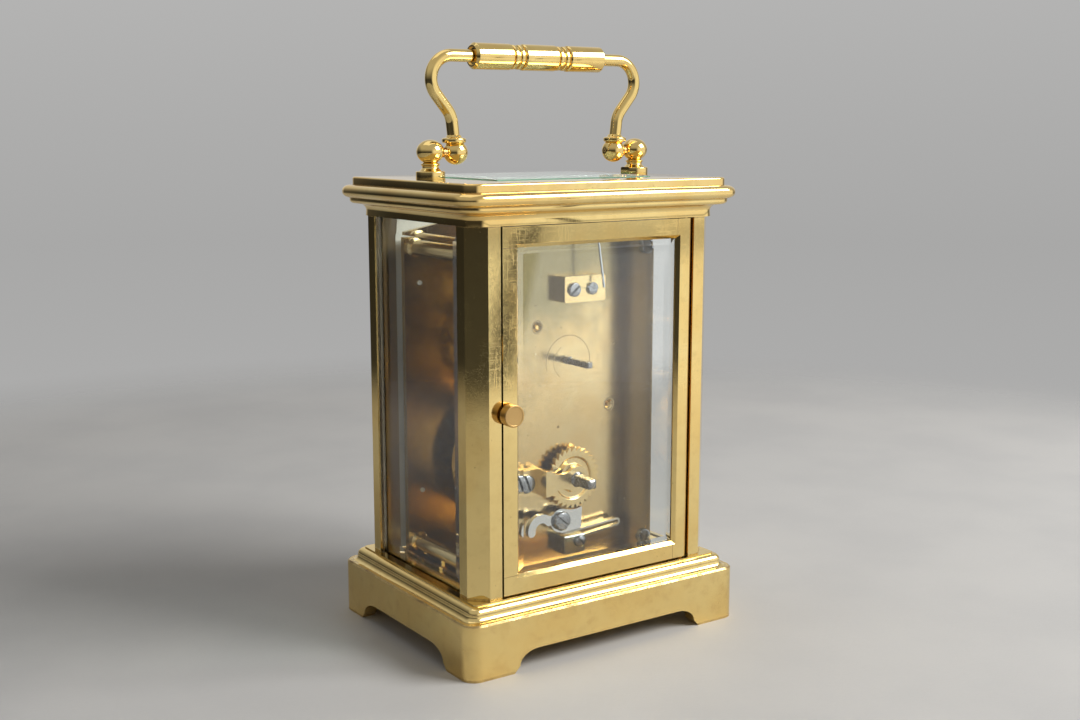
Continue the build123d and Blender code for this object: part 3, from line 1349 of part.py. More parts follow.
with BuildPart() as contrate_wheel:
    turned(facing_back(contrate_at[0], 0, contrate_at[1]),
           [(front_outer + 0.3, pivot_radius), (front_inner + arbor_play, pivot_radius),
            (front_inner + arbor_play, arbor_radius),
            (movement_back - hole_gap, arbor_radius), (movement_back - hole_gap, pivot_radius),
            (movement_back + cock_pivot_depth - 2 * hole_end_gap, pivot_radius)])
    rim_plane = facing_back(contrate_at[0], crown_root_y - crown_plate, contrate_at[1])
    with BuildSketch(rim_plane):
        Circle(contrate_radius + crown_rim / 2)
    extrude(amount=crown_plate)
    cross_out(rim_plane, crown_plate, crown_hub_radius, contrate_radius - 0.7 * crown_rim, 4, crown_spoke_width)
    with BuildSketch(facing_back(contrate_at[0], crown_root_y, contrate_at[1])):
        with PolarLocations(contrate_radius, contrate_teeth, start_angle=-90):
            Rectangle(crown_rim, 1.15 * contrate_module)
    extrude(amount=crown_tip_y - crown_root_y)
    pinion_disc(facing_back(contrate_at[0], third_wheel_y - pinion_lead, contrate_at[1]), pinion_length,
                contrate_leaves, third_module, mesh_angle(contrate_at, third_at) + 180 / contrate_leaves)
contrate_wheel.part.label = "contrate_wheel"

# Centre arbor: runs through the movement from the hands to the square that sets them
minute_layer_back = front_outer - motion_gap
minute_layer_front = minute_layer_back - minute_layer
hour_layer_back = minute_layer_front - layer_gap
hour_layer_front = hour_layer_back - hour_layer
dial_back = hour_layer_front - dial_gap
dial_front = dial_back - dial_thickness
hour_hand_back = dial_front - hand_gap
minute_hand_back = hour_hand_back - hand_thickness - hand_gap
arbor_tip = minute_hand_back - hand_thickness - arbor_end
minute_module = 2 * motion_distance / (cannon_leaves + minute_wheel_teeth)
hour_module = 2 * motion_distance / (minute_wheel_leaves + hour_wheel_teeth)

with BuildPart() as centre_arbor:
    set_tip = movement_back + set_arbor_reach
    turned(facing_back(centre_at[0], 0, centre_at[1]),
           [(arbor_tip, hand_pivot_radius), (minute_hand_back, hand_pivot_radius),
            (minute_hand_back, cannon_tube_radius),
            (front_inner + arbor_play, cannon_tube_radius), (front_inner + arbor_play, set_collar_radius),
            (front_inner + set_collar_length, set_collar_radius),
            (front_inner + set_collar_length, centre_arbor_radius),
            (back_inner - set_collar_length, centre_arbor_radius),
            (back_inner - set_collar_length, set_collar_radius),
            (back_inner - arbor_play, set_collar_radius), (back_inner - arbor_play, centre_arbor_radius),
            (movement_back + set_round_length, centre_arbor_radius)])
    slab(facing_back(centre_at[0], movement_back + set_round_length - hole_gap, centre_at[1]), set_square,
         set_square, set_arbor_reach - set_round_length + hole_gap)
    chamfer(centre_arbor.faces().sort_by(Axis.Y)[-1].edges(), set_chamfer)
    pinion_disc(facing_back(centre_at[0], minute_layer_front, centre_at[1]), minute_layer, cannon_leaves,
                minute_module, mesh_angle(centre_at, minute_at) + 180 / cannon_leaves)
centre_arbor.part.label = "centre_arbor"

with BuildPart() as minute_stud:
    turned(facing_back(minute_at[0], 0, minute_at[1]),
           [(hour_layer_front - layer_gap, minute_stud_radius), (front_inner, minute_stud_radius)])
minute_stud.part.label = "minute_stud"

with BuildPart() as minute_wheel:
    wheel_disc(facing_back(minute_at[0], minute_layer_front, minute_at[1]), minute_layer, minute_wheel_teeth,
               minute_module, mesh_angle(minute_at, centre_at))
    pinion_disc(facing_back(minute_at[0], hour_layer_front, minute_at[1]), hour_layer + 0.2,
                minute_wheel_leaves, hour_module, mesh_angle(minute_at, centre_at) + 180 / minute_wheel_leaves)
    drilled(facing_back(minute_at[0], minute_layer_back, minute_at[1]), minute_stud_radius + run_gap,
            minute_layer_back - hour_layer_front)
minute_wheel.part.label = "minute_wheel"

with BuildPart() as hour_wheel:
    wheel_disc(facing_back(centre_at[0], hour_layer_front, centre_at[1]), hour_layer, hour_wheel_teeth,
               hour_module, mesh_angle(centre_at, minute_at))
    turned(facing_back(centre_at[0], 0, centre_at[1]),
           [(hour_hand_back - hand_thickness, hour_tube_radius), (hour_layer_front, hour_tube_radius)])
    drilled(facing_back(centre_at[0], hour_layer_back, centre_at[1]), cannon_tube_radius + run_gap,
            hour_layer_back - hour_hand_back + hand_thickness)
hour_wheel.part.label = "hour_wheel"


def clock_hand(back, length, hub_radius, bore, width, turn):
    """A flat spade hand with its hub at the centre arbor, turned clockwise from twelve by an angle."""
    plane = Plane(origin=(centre_at[0], back, centre_at[1]), x_dir=(cos(radians(turn)), 0, -sin(radians(turn))),
                  z_dir=(0, -1, 0))
    spade = 0.72 * length
    with BuildSketch(plane) as hand:
        Circle(hub_radius)
        with BuildLine():
            Polyline((-width / 2, 0), (-width / 3, spade), (-0.11 * length, 0.8 * length), (0, length),
                     (0.11 * length, 0.8 * length), (width / 3, spade), (width / 2, 0), close=True)
        make_face()
        Circle(bore, mode=Mode.SUBTRACT)
    extrude(hand.sketch, amount=hand_thickness)


with BuildPart() as hour_hand:
    clock_hand(hour_hand_back, hour_hand_length, hour_hub_radius, hour_tube_radius + fit_gap, hour_hand_width,
               304)
hour_hand.part.label = "hour_hand"

with BuildPart() as minute_hand:
    clock_hand(minute_hand_back, minute_hand_length, minute_hub_radius, hand_pivot_radius + fit_gap,
               minute_hand_width, 48)
minute_hand.part.label = "minute_hand"

# Dial with its feet, and the gilt mask that frames it
dial_half = post_inner_x - dial_edge_gap
dial_low = base_top + dial_edge_gap
dial_high = cornice_bottom - dial_edge_gap
dial_middle_z = (dial_low + dial_high) / 2

with BuildPart() as dial:
    slab(facing_back(0, dial_front, dial_middle_z), 2 * dial_half, dial_high - dial_low, dial_thickness)
    for x, z in dial_foot_places:
        turned(facing_back(x, 0, z), [(dial_back - layer_gap, dial_foot_collar),
                                      (front_outer, dial_foot_collar), (front_outer, dial_foot_radius),
                                      (front_inner + arbor_end, dial_foot_radius)])
    drilled(facing_back(centre_at[0], dial_back, centre_at[1]), hour_tube_radius + dial_gap, dial_thickness)
dial.part.label = "dial"

with BuildPart() as dial_mask:
    slab(facing_back(0, dial_front - dial_mask_thickness, dial_middle_z), 2 * dial_half, dial_high - dial_low,
         dial_mask_thickness)
    slab(facing_back(0, dial_front - dial_mask_thickness, centre_at[1]), mask_window_width, mask_window_height,
         dial_mask_thickness, Mode.SUBTRACT, corner=mask_corner)
dial_mask.part.label = "dial_mask"

# Platform: a plate across the tops of the movement plates, carrying the lever escapement
platform_top = plate_top + platform_thickness
escape_at = (contrate_at[0], escape_y)
pallet_at = (escape_at[0] - pallet_distance, escape_y)
balance_at = (pallet_at[0] - balance_distance, escape_y)
platform_middle_y = (front_outer + movement_back) / 2
platform_screw_places = [
    (x, y) for x in platform_screw_xs for y in (front_outer + plate_thickness / 2,
                                                movement_back - plate_thickness / 2)
]
escape_low = contrate_at[1] + escape_foot_lift
escape_shoulder = escape_low + potence_foot + hole_end_gap
cock_bottom = platform_top + cock_lift
cock_top = cock_bottom + cock_thickness
train_cock_foot = ((escape_at[0] + pallet_at[0]) / 2, escape_y - train_cock_reach)
balance_cock_foot = (balance_at[0] - balance_cock_inset, movement_back - balance_cock_inset)
balance_cock_bottom = platform_top + balance_cock_lift
balance_cock_top = balance_cock_bottom + balance_cock_thickness
potence_y = (escape_y + potence_gap, escape_y + potence_gap + potence_thickness)

with BuildPart() as platform_plate:
    slab(Plane(origin=(platform_offset, platform_middle_y, plate_top)), platform_width,
         movement_back - front_outer, platform_thickness)
    fillet(platform_plate.edges().filter_by(Axis.Z), platform_corner)
    block((escape_at[0] - potence_half, escape_y - 0.6 * potence_half, escape_low - potence_foot / 2),
          (escape_at[0] + potence_half, potence_y[1], escape_low + potence_foot))
    block((escape_at[0] - potence_half, potence_y[0], escape_low - potence_foot / 2),
          (escape_at[0] + potence_half, potence_y[1], plate_top))
    drilled(facing_up(*escape_at, platform_top), escape_pinion_radius + 0.35, platform_thickness)
    drilled(facing_up(*escape_at, escape_low + potence_foot), jewel_radius + run_gap, potence_foot)
    for place in (pallet_at, balance_at):
        drilled(facing_up(*place, platform_top), jewel_radius + run_gap, platform_thickness - jewel_depth)
    for x, y in platform_screw_places:
        drilled(facing_up(x, y, platform_top), platform_screw_radius + fit_gap, platform_thickness)
    for x, y in (train_cock_foot, balance_cock_foot):
        drilled(facing_up(x, y, platform_top), cock_foot_radius + fit_gap, platform_thickness - hole_end_gap)
platform_plate.part.label = "platform_plate"

with BuildPart() as escape_wheel:
    turned(facing_up(*escape_at, 0),
           [(escape_low + hole_gap, jewel_radius), (escape_shoulder, jewel_radius),
            (escape_shoulder, fine_arbor_radius), (cock_bottom - fine_play, fine_arbor_radius),
            (cock_bottom - fine_play, jewel_radius), (cock_top - hole_gap, jewel_radius)])
    pinion_disc(facing_up(*escape_at, escape_shoulder + hole_end_gap),
                plate_top - escape_shoulder - 3 * hole_end_gap,
                escape_leaves, contrate_module, 180 / escape_leaves - 90)
    rim = []
    for tooth in range(escape_teeth):
        start = 2 * pi * tooth / escape_teeth
        for radius, share in ((0.74, 0.0), (0.97, 0.34), (1.0, 0.5), (0.74, 0.42)):
            angle = start + share * 2 * pi / escape_teeth
            rim.append((escape_radius * radius * cos(angle), escape_radius * radius * sin(angle)))
    escape_plane = facing_up(*escape_at, platform_top + escape_lift)
    with BuildSketch(escape_plane):
        with BuildLine():
            Polyline(*rim, close=True)
        make_face()
    extrude(amount=escape_wheel_thickness)
    cross_out(escape_plane, escape_wheel_thickness, 0.8, 0.6 * escape_radius, 4, 0.4)
escape_wheel.part.label = "escape_wheel"

with BuildPart() as pallet_lever:
    turned(facing_up(*pallet_at, 0),
           [(platform_top - 2 * jewel_depth, jewel_radius), (platform_top + fine_play, jewel_radius),
            (platform_top + fine_play, fine_arbor_radius), (cock_bottom - fine_play, fine_arbor_radius),
            (cock_bottom - fine_play, jewel_radius), (cock_top - hole_gap, jewel_radius)])
    stone_reach = escape_radius + pallet_clearance
    with BuildSketch(facing_up(*pallet_at, platform_top + escape_lift)):
        Circle(0.7)
        for side in (-1, 1):
            with BuildLine():
                Polyline((0, side * -0.4), (0.1, side * 0.4), (pallet_distance - 2.6, side * 3.5),
                         (pallet_distance - 1.6, side * 3.2), (0.9, side * 0.55), close=True)
            make_face()
        with BuildLine():
            Polyline((0, -0.3), (1.2 - balance_distance, -0.25), (0.75 - balance_distance, -0.55),
                     (0.7 - balance_distance, -0.3), (1.0 - balance_distance, 0), (0.7 - balance_distance, 0.3),
                     (0.75 - balance_distance, 0.55), (1.2 - balance_distance, 0.25), (0, 0.3), close=True)
        make_face()
        with Locations((pallet_distance, 0)):
            Circle(stone_reach, mode=Mode.SUBTRACT)
    extrude(amount=escape_wheel_thickness)
pallet_lever.part.label = "pallet_lever"

with BuildPart() as escape_cock:
    with BuildSketch(Plane.XY.offset(cock_bottom)):
        with Locations(((escape_at[0] + pallet_at[0]) / 2, escape_y)):
            RectangleRounded(pallet_distance + 2.9, 2.2, 0.9)
        with Locations((train_cock_foot[0], (train_cock_foot[1] + escape_y) / 2)):
            Rectangle(train_cock_width, escape_y - train_cock_foot[1] + train_cock_length)
    extrude(amount=cock_thickness)
    slab(facing_up(*train_cock_foot, platform_top), train_cock_width, train_cock_length, cock_lift)
    for place in (escape_at, pallet_at):
        drilled(facing_up(*place, cock_top), jewel_radius + run_gap, cock_thickness)
    drilled(facing_up(*train_cock_foot, cock_top), cock_foot_radius + hole_gap, cock_top - platform_top)
escape_cock.part.label = "escape_cock"

with BuildPart() as balance_wheel:
    rim_bottom = platform_top + balance_lift
    rim_top = rim_bottom + balance_thickness
    roller_bottom = platform_top + escape_lift + escape_wheel_thickness + roller_thickness
    roller_top = roller_bottom + roller_thickness
    turned(facing_up(*balance_at, 0),
           [(platform_top - 2 * jewel_depth, jewel_radius), (platform_top + fine_play, jewel_radius),
            (platform_top + fine_play, staff_radius), (roller_bottom, staff_radius),
            (roller_bottom, roller_radius),
            (roller_top, roller_radius), (roller_top, staff_radius), (rim_bottom, staff_radius),
            (rim_bottom, balance_hub_radius), (rim_top, balance_hub_radius), (rim_top, staff_radius),
            (balance_cock_bottom - fine_play, staff_radius), (balance_cock_bottom - fine_play, jewel_radius),
            (balance_cock_top - hole_gap, jewel_radius)])
    with BuildSketch(Plane.XY.offset(rim_bottom)):
        with Locations(balance_at):
            Circle(balance_radius)
            Circle(balance_radius - balance_rim, mode=Mode.SUBTRACT)
            Rectangle(2 * balance_radius - balance_rim, balance_arm_width)
    extrude(amount=balance_thickness)
    for turn in range(balance_screws):
        angle = 2 * pi * (turn + 0.5) / balance_screws
        seat = balance_radius - hole_gap
        rim_point = (balance_at[0] + seat * cos(angle), balance_at[1] + seat * sin(angle))
        screw_plane = Plane(origin=(*rim_point, (rim_bottom + rim_top) / 2), z_dir=(cos(angle), sin(angle), 0))
        turned(screw_plane, [(0, balance_screw_radius), (balance_screw_length, balance_screw_radius)])
balance_wheel.part.label = "balance_wheel"

with BuildPart() as hairspring:
    hairspring_plane = facing_up(*balance_at, platform_top + hairspring_lift)
    spiral_strip(hairspring_plane, hairspring_inner, hairspring_outer, hairspring_turns, hairspring_thickness,
                 hairspring_width)
    turned(hairspring_plane, [(0, hairspring_inner), (hairspring_width, hairspring_inner)])
    drilled(hairspring_plane.offset(hairspring_width), staff_radius + fit_gap, hairspring_width)
    slab(facing_up(balance_at[0] + hairspring_outer, balance_at[1], platform_top + hairspring_lift),
         hairspring_stud, hairspring_stud, balance_cock_lift - hairspring_lift)
hairspring.part.label = "hairspring"

with BuildPart() as balance_cock:
    foot_x, foot_y = balance_cock_foot
    reach = hypot(foot_x - balance_at[0], foot_y - balance_at[1])
    tail_end = reach + balance_cock_tail
    bearing = degrees(atan2(foot_y - balance_at[1], foot_x - balance_at[0]))
    with BuildSketch(facing_up(*balance_at, balance_cock_bottom, bearing)):
        Circle(balance_cock_end)
        with BuildLine():
            Polyline((0, -balance_cock_neck), (reach, -balance_cock_half_width),
                     (tail_end, -balance_cock_half_width),
                     (tail_end, balance_cock_half_width), (reach, balance_cock_half_width),
                     (0, balance_cock_neck), close=True)
        make_face()
    extrude(amount=balance_cock_thickness)
    slab(facing_up(balance_at[0] + hairspring_outer / 2, balance_at[1], balance_cock_bottom),
         hairspring_outer + 2 * hairspring_stud, balance_cock_end, balance_cock_thickness)
    slab(facing_up(foot_x, foot_y, platform_top, bearing), 2 * balance_cock_tail - 2 * hole_end_gap,
         2 * balance_cock_half_width, balance_cock_lift)
    drilled(facing_up(*balance_at, balance_cock_top), jewel_radius + run_gap, balance_cock_thickness)
    drilled(facing_up(foot_x, foot_y, balance_cock_top), cock_foot_radius + hole_gap,
            balance_cock_top - platform_top)
    turned(facing_up(*balance_at, balance_cock_top), [(-hole_gap, cap_radius), (index_thickness, cap_radius)])
    drilled(facing_up(*balance_at, balance_cock_top + index_thickness), jewel_radius + hole_gap,
            balance_cock_thickness)
balance_cock.part.label = "balance_cock"

# Regulator index: turns about the balance's line, its tail bent down behind the back plate
index_tail_at = (-5.4, movement_back + 3.2)
tail_tip = (-6.5, movement_back + 6.4, contrate_at[1] + 0.3)

with BuildPart() as regulator_index:
    index_bottom = balance_cock_top
    tail_bearing = degrees(atan2(index_tail_at[1] - balance_at[1], index_tail_at[0] - balance_at[0]))
    tail_reach = hypot(index_tail_at[0] - balance_at[0], index_tail_at[1] - balance_at[1])
    with BuildSketch(facing_up(*balance_at, index_bottom, tail_bearing)):
        Circle(index_ring_radius)
        with Locations((tail_reach / 2, 0)):
            Rectangle(tail_reach, 2 * index_tail_radius)
        Circle(cap_radius + run_gap, mode=Mode.SUBTRACT)
    extrude(amount=index_thickness)
    tail_top = (index_tail_at[0], index_tail_at[1], index_bottom + index_thickness / 2)
    with BuildLine() as tail_line:
        FilletPolyline(tail_top, (index_tail_at[0] + 0.15, index_tail_at[1] + 0.7,
                                  tail_top[2] - index_thickness),
                       tail_tip, radius=index_thickness)
    with BuildSketch(Plane(origin=tail_line.line @ 0, z_dir=tail_line.line % 0)) as tail_section:
        Circle(index_tail_radius)
    sweep(tail_section.sketch, path=tail_line.line)
regulator_index.part.label = "regulator_index"

with BuildPart() as platform_screws:
    for x, y in platform_screw_places:
        slotted_screw(facing_up(x, y, platform_top, 30), platform_thickness + platform_screw_reach,
                      platform_screw_head, platform_screw_height, platform_screw_radius)
    slotted_screw(facing_up(*train_cock_foot, cock_top, 60), cock_top - plate_top - jewel_depth,
                  train_cock_screw_head, train_cock_screw_height, cock_foot_radius)
    slotted_screw(facing_up(*balance_cock_foot, balance_cock_top, 110),
                  balance_cock_top - plate_top - jewel_depth,
                  balance_cock_screw_head, platform_screw_height, cock_foot_radius)
platform_screws.part.label = "platform_screws"

pieces = [
    base, cornice, top_glass, post_rear_lock, post_rear_hinge, post_front_left, post_front_right,
    side_glass_left, side_glass_right, front_glass, case_screws, handle_posts, handle_pivot_screws,
    handle_arm_left, handle_arm_right, handle_grip, door_hinge_stile, door_lock_stile, door_bottom_rail,
    door_top_rail, door_glass, door_knob, door_catch_spring, door_pivot_pins, back_plate, front_plate,
    movement_pillars, contrate_cock, winding_bridge, click, click_spring, click_spring_block,
    movement_screws, barrel_arbor, ratchet_wheel, barrel, barrel_cap, mainspring, intermediate_wheel,
    centre_wheel, third_wheel, contrate_wheel, centre_arbor, minute_stud, minute_wheel, hour_wheel,
    hour_hand, minute_hand, dial, dial_mask, platform_plate, escape_wheel, pallet_lever, escape_cock,
    balance_wheel, hairspring, balance_cock, regulator_index, platform_screws,
]
os.makedirs("parts", exist_ok=True)
for piece in pieces:
    export_step(piece.part, f"parts/{piece.part.label}.step")
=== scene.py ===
import bpy
import math
import numpy as np
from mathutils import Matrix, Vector


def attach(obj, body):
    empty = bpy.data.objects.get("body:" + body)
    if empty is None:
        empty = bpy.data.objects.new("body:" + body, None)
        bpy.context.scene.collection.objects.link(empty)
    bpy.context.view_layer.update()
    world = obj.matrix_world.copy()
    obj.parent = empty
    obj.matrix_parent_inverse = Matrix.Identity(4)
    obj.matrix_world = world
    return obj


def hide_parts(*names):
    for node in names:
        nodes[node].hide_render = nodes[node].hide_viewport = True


# A brass carriage clock seen from behind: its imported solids, new turned pieces over some of them,
# and the finishes of brass, steel, glass and enamel. The dictionaries are in millimetres.

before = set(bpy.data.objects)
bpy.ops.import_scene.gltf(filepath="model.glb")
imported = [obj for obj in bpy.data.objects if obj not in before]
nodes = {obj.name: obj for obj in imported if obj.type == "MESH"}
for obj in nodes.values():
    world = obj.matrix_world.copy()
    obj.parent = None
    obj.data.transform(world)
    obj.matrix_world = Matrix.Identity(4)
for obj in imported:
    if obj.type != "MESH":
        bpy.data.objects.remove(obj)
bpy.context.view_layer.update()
mm = 0.001
print("frame loaded,", len(nodes), "nodes")


# surfaces

samePoint = 1e-7  # a row narrower than this is one point
axisFrames = {"x": ((0, 1, 0), (0, 0, 1), (1, 0, 0)),
              "y": ((0, 0, 1), (1, 0, 0), (0, 1, 0)),
              "z": ((1, 0, 0), (0, 1, 0), (0, 0, 1))}


def roundCorners(corners, radii, steps=7, share=0.49):
    # every inner corner becomes an arc touching both of its runs: the arc's centre plus the turn,
    # by equal angles, from one touching point to the other; three corners in line have no such arc
    corners = np.asarray(corners, float)
    before, after = corners[:-2] - corners[1:-1], corners[2:] - corners[1:-1]
    lengthBefore, lengthAfter = np.linalg.norm(before, axis=1), np.linalg.norm(after, axis=1)
    before, after = before / lengthBefore[:, None], after / lengthAfter[:, None]
    half = np.arccos(np.clip((before * after).sum(1), -1, 1)) / 2
    reach = np.minimum(np.broadcast_to(radii, half.shape) / np.tan(half),
                       share * np.minimum(lengthBefore, lengthAfter))
    radius = reach * np.tan(half)
    middle = before + after
    middle /= np.linalg.norm(middle, axis=1)[:, None]
    centre = corners[1:-1] + middle * (radius / np.sin(half))[:, None]
    first = corners[1:-1] + before * reach[:, None] - centre
    last = corners[1:-1] + after * reach[:, None] - centre
    turn = (math.pi - 2 * half)[:, None, None]
    way = np.linspace(0, 1, steps)[None, :, None]
    arcs = (np.sin((1 - way) * turn) * first[:, None] + np.sin(way * turn) * last[:, None]) / np.sin(turn)
    arcs = (arcs + centre[:, None]).reshape(-1, corners.shape[1])
    return np.concatenate([corners[:1], arcs, corners[-1:]])


def turned(profile, origin, axis="z", columns=96):
    # a profile of (along, radius) rows, carried round its axis: origin + along * axis + radius * (cos, sin)
    sideA, sideB, direction = (np.array(v, float) for v in axisFrames[axis])
    along, radius = profile[:, 0, None, None], profile[:, 1, None, None]
    angle = np.linspace(0, 2 * math.pi, columns, endpoint=False)[None, :, None]
    outwards = np.cos(angle) * sideA + np.sin(angle) * sideB
    return np.array(origin, float) + along * direction + radius * outwards


def tube(path, radius, columns=40):
    # circles carried along a path that lies in an XZ plane, each square to the path there
    tangent = np.gradient(path, axis=0)
    tangent /= np.linalg.norm(tangent, axis=1)[:, None]
    across = np.array([0.0, 1.0, 0.0])
    binormal = np.cross(tangent, across)
    angle = np.linspace(0, 2 * math.pi, columns, endpoint=False)[None, :, None]
    ring = np.cos(angle) * across + np.sin(angle) * binormal[:, None]
    return path[:, None] + np.reshape(radius, (-1, 1, 1)) * ring


def mirrored(grid):
    # the same surface on the -X side, its columns turned round so that it still faces outwards
    return grid[:, ::-1] * np.array([-1.0, 1.0, 1.0])


def arc(centre, radius, start, end, steps=8):
    # points at even angles on a circle in a profile's own flat
    angle = np.radians(np.linspace(start, end, steps))
    return np.stack([centre[0] + radius * np.cos(angle), centre[1] + radius * np.sin(angle)], axis=1)


def framed(rows, steps=8):
    # rounded rectangles stacked up: a row gives half a width, half a depth, a corner's radius and a height
    halfX, halfY, radius, height = (np.array(rows, float)[:, k, None, None] for k in range(4))
    quarter = np.arange(4)[:, None] * math.pi / 2
    angle = quarter + np.linspace(0, math.pi / 2, steps)[None, :]
    signX, signY = np.sign(np.cos(quarter + math.pi / 4)), np.sign(np.sin(quarter + math.pi / 4))
    x = signX * (halfX - radius) + radius * np.cos(angle)
    y = signY * (halfY - radius) + radius * np.sin(angle)
    return np.stack([x, y, np.broadcast_to(height, x.shape)], axis=-1).reshape(len(rows), -1, 3)


def shell(grid, around=True, closed=False):
    # rows by columns of points made into faces; a row that is one point becomes a pole, and a closed
    # shell's last row joins its first
    rows, cols = grid.shape[:2]
    index = np.arange(rows * cols).reshape(rows, cols)
    if around:
        index = np.concatenate([index, index[:, :1]], axis=1)
    index = index.copy()
    for row in (0, -1):
        if np.ptp(grid[row], axis=0).max() < samePoint:
            index[row] = index[row, 0]
    quads = np.stack([index[:-1, :-1], index[:-1, 1:], index[1:, 1:], index[1:, :-1]], axis=-1).reshape(-1, 4)
    if closed:
        seam = np.stack([index[-1, :-1], index[-1, 1:], index[0, 1:], index[0, :-1]], axis=-1)
        quads = np.concatenate([quads, seam])
    low, high = quads[:, 0] == quads[:, 1], quads[:, 2] == quads[:, 3]
    triangles = np.concatenate([quads[low][:, [0, 2, 3]], quads[high][:, :3]])
    return grid.reshape(-1, 3), quads[~low & ~high], triangles


def makePiece(name, shells, finish, body=None, replaces=(), sharp=35):
    # joins shells into one mesh, each shell's corners counted on from the last one's, and rides it on a body
    points, faces, start = [], [], 0
    for vertices, quads, triangles in shells:
        points.append(vertices)
        faces += (quads + start).tolist() + (triangles + start).tolist()
        start += len(vertices)
    mesh = bpy.data.meshes.new(name)
    mesh.from_pydata((np.concatenate(points) * mm).tolist(), [], faces)
    mesh.validate()
    mesh.shade_smooth()
    mesh.set_sharp_from_angle(angle=math.radians(sharp))
    piece = bpy.data.objects.new(name, mesh)
    bpy.context.scene.collection.objects.link(piece)
    mesh.materials.append(finish.material)
    if body:
        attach(piece, body)
    if replaces:
        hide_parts(*replaces)
    return piece


# finishes

class Wire:  # a value inside a finish: sums written with it add Math nodes
    def __init__(self, finish, socket):
        self.finish = finish
        self.socket = socket

    def maths(self, operation, *others):
        return self.finish.node("ShaderNodeMath", {"operation": operation}, dict(enumerate((self,) + others)))

    def __add__(self, other):
        return self.maths("ADD", other)

    def __sub__(self, other):
        return self.maths("SUBTRACT", other)

    def __mul__(self, other):
        return self.maths("MULTIPLY", other)

    def __truediv__(self, other):
        return self.maths("DIVIDE", other)

    def __abs__(self):
        return self.maths("ABSOLUTE")

    def __rsub__(self, other):
        return self.finish.node("ShaderNodeMath", {"operation": "SUBTRACT"}, {0: other, 1: self})

    __radd__ = __add__
    __rmul__ = __mul__


class Finish:  # the nodes of one material, or of the world
    def __init__(self, name, owner=None):
        self.material = owner or bpy.data.materials.new(name)
        self.material.use_nodes = True
        self.tree = self.material.node_tree
        self.tree.nodes.clear()

    def node(self, kind, settings=None, sockets=None, output=0):
        made = self.tree.nodes.new(kind)
        for key, value in (settings or {}).items():
            if key == "stops":
                ramp = made.color_ramp.elements
                while len(ramp) < len(value):
                    ramp.new(0.5)
                for element, (place, level) in zip(ramp, value):
                    element.position = place
                    element.color = (level, level, level, 1)
            else:
                setattr(made, key, value)
        for key, value in (sockets or {}).items():
            if isinstance(value, Wire):
                self.tree.links.new(value.socket, made.inputs[key])
            else:
                made.inputs[key].default_value = value
        return Wire(self, made.outputs[output]) if len(made.outputs) else made

    def point(self):  # object coordinates, in millimetres
        place = self.node("ShaderNodeTexCoord", output="Object")
        return self.node("ShaderNodeVectorMath", {"operation": "SCALE"}, {0: place, "Scale": 1000.0})

    def split(self, vector):
        first = self.node("ShaderNodeSeparateXYZ", None, {0: vector})
        return [Wire(self, socket) for socket in first.socket.node.outputs]

    def stretched(self, vector, scale, turn=(0, 0, 0)):
        return self.node("ShaderNodeMapping", None, {"Vector": vector, "Rotation": turn, "Scale": scale})

    def noise(self, vector, scale, detail=2.0, rough=0.5):
        return self.node("ShaderNodeTexNoise", None, {"Vector": vector, "Scale": scale, "Detail": detail,
                                                      "Roughness": rough})

    def fade(self, value, low, high):
        return self.node("ShaderNodeMapRange", {"interpolation_type": "SMOOTHSTEP"},
                         {0: value, 1: low, 2: high})

    def line(self, value, centre, half):
        return self.fade(abs(value - centre), half, half * 0.35)

    def between(self, share, first, second):
        paint = {0: share, 6: first, 7: second}
        paint = {key: value + (1,) if isinstance(value, tuple) else value for key, value in paint.items()}
        return self.node("ShaderNodeMix", {"data_type": "RGBA"}, paint, 2)

    def relief(self, height, depth):
        return self.node("ShaderNodeBump", None, {"Height": height, "Distance": depth * mm})

    def show(self, **sockets):
        named = {key.replace("_", " "): value for key, value in sockets.items()}
        named = {key: value + (1,) if isinstance(value, tuple) else value for key, value in named.items()}
        shader = self.node("ShaderNodeBsdfPrincipled", None, named)
        self.node("ShaderNodeOutputMaterial", None, {"Surface": shader})
        return self


def largest(first, second):
    return first.maths("MAXIMUM", second)


def hairlines(f, point, amount):
    # thin curved rub marks: the places where a stretched noise passes one level, broken up by another noise
    broken = f.fade(f.noise(point, 0.12, 3), 0.46, 0.62)
    rubA = f.line(f.noise(f.stretched(point, (0.05, 0.9, 0.9), (0.4, 0.7, 0.3)), 1.0, 3), 0.5, 0.012)
    rubB = f.line(f.noise(f.stretched(point, (0.8, 0.7, 0.06), (0.5, -0.3, 0.9)), 1.0, 3), 0.52, 0.012)
    return largest(rubA, rubB) * broken * amount


brassLook = {"colour": (0.90, 0.69, 0.29), "warm": (0.84, 0.56, 0.18), "dull": (0.60, 0.40, 0.15),
             "stain": (0.16, 0.085, 0.03), "tarnish": (0.34, 0.31, 0.27), "rough": 0.055, "satin": 0.0,
             "cloud": 0.5, "mottle": 0.25, "grain": None, "grainDepth": 0.0, "hair": 0.35, "wave": 0.02,
             "pits": 0.03, "specks": 0.8, "grime": (), "joints": None, "inside": None}


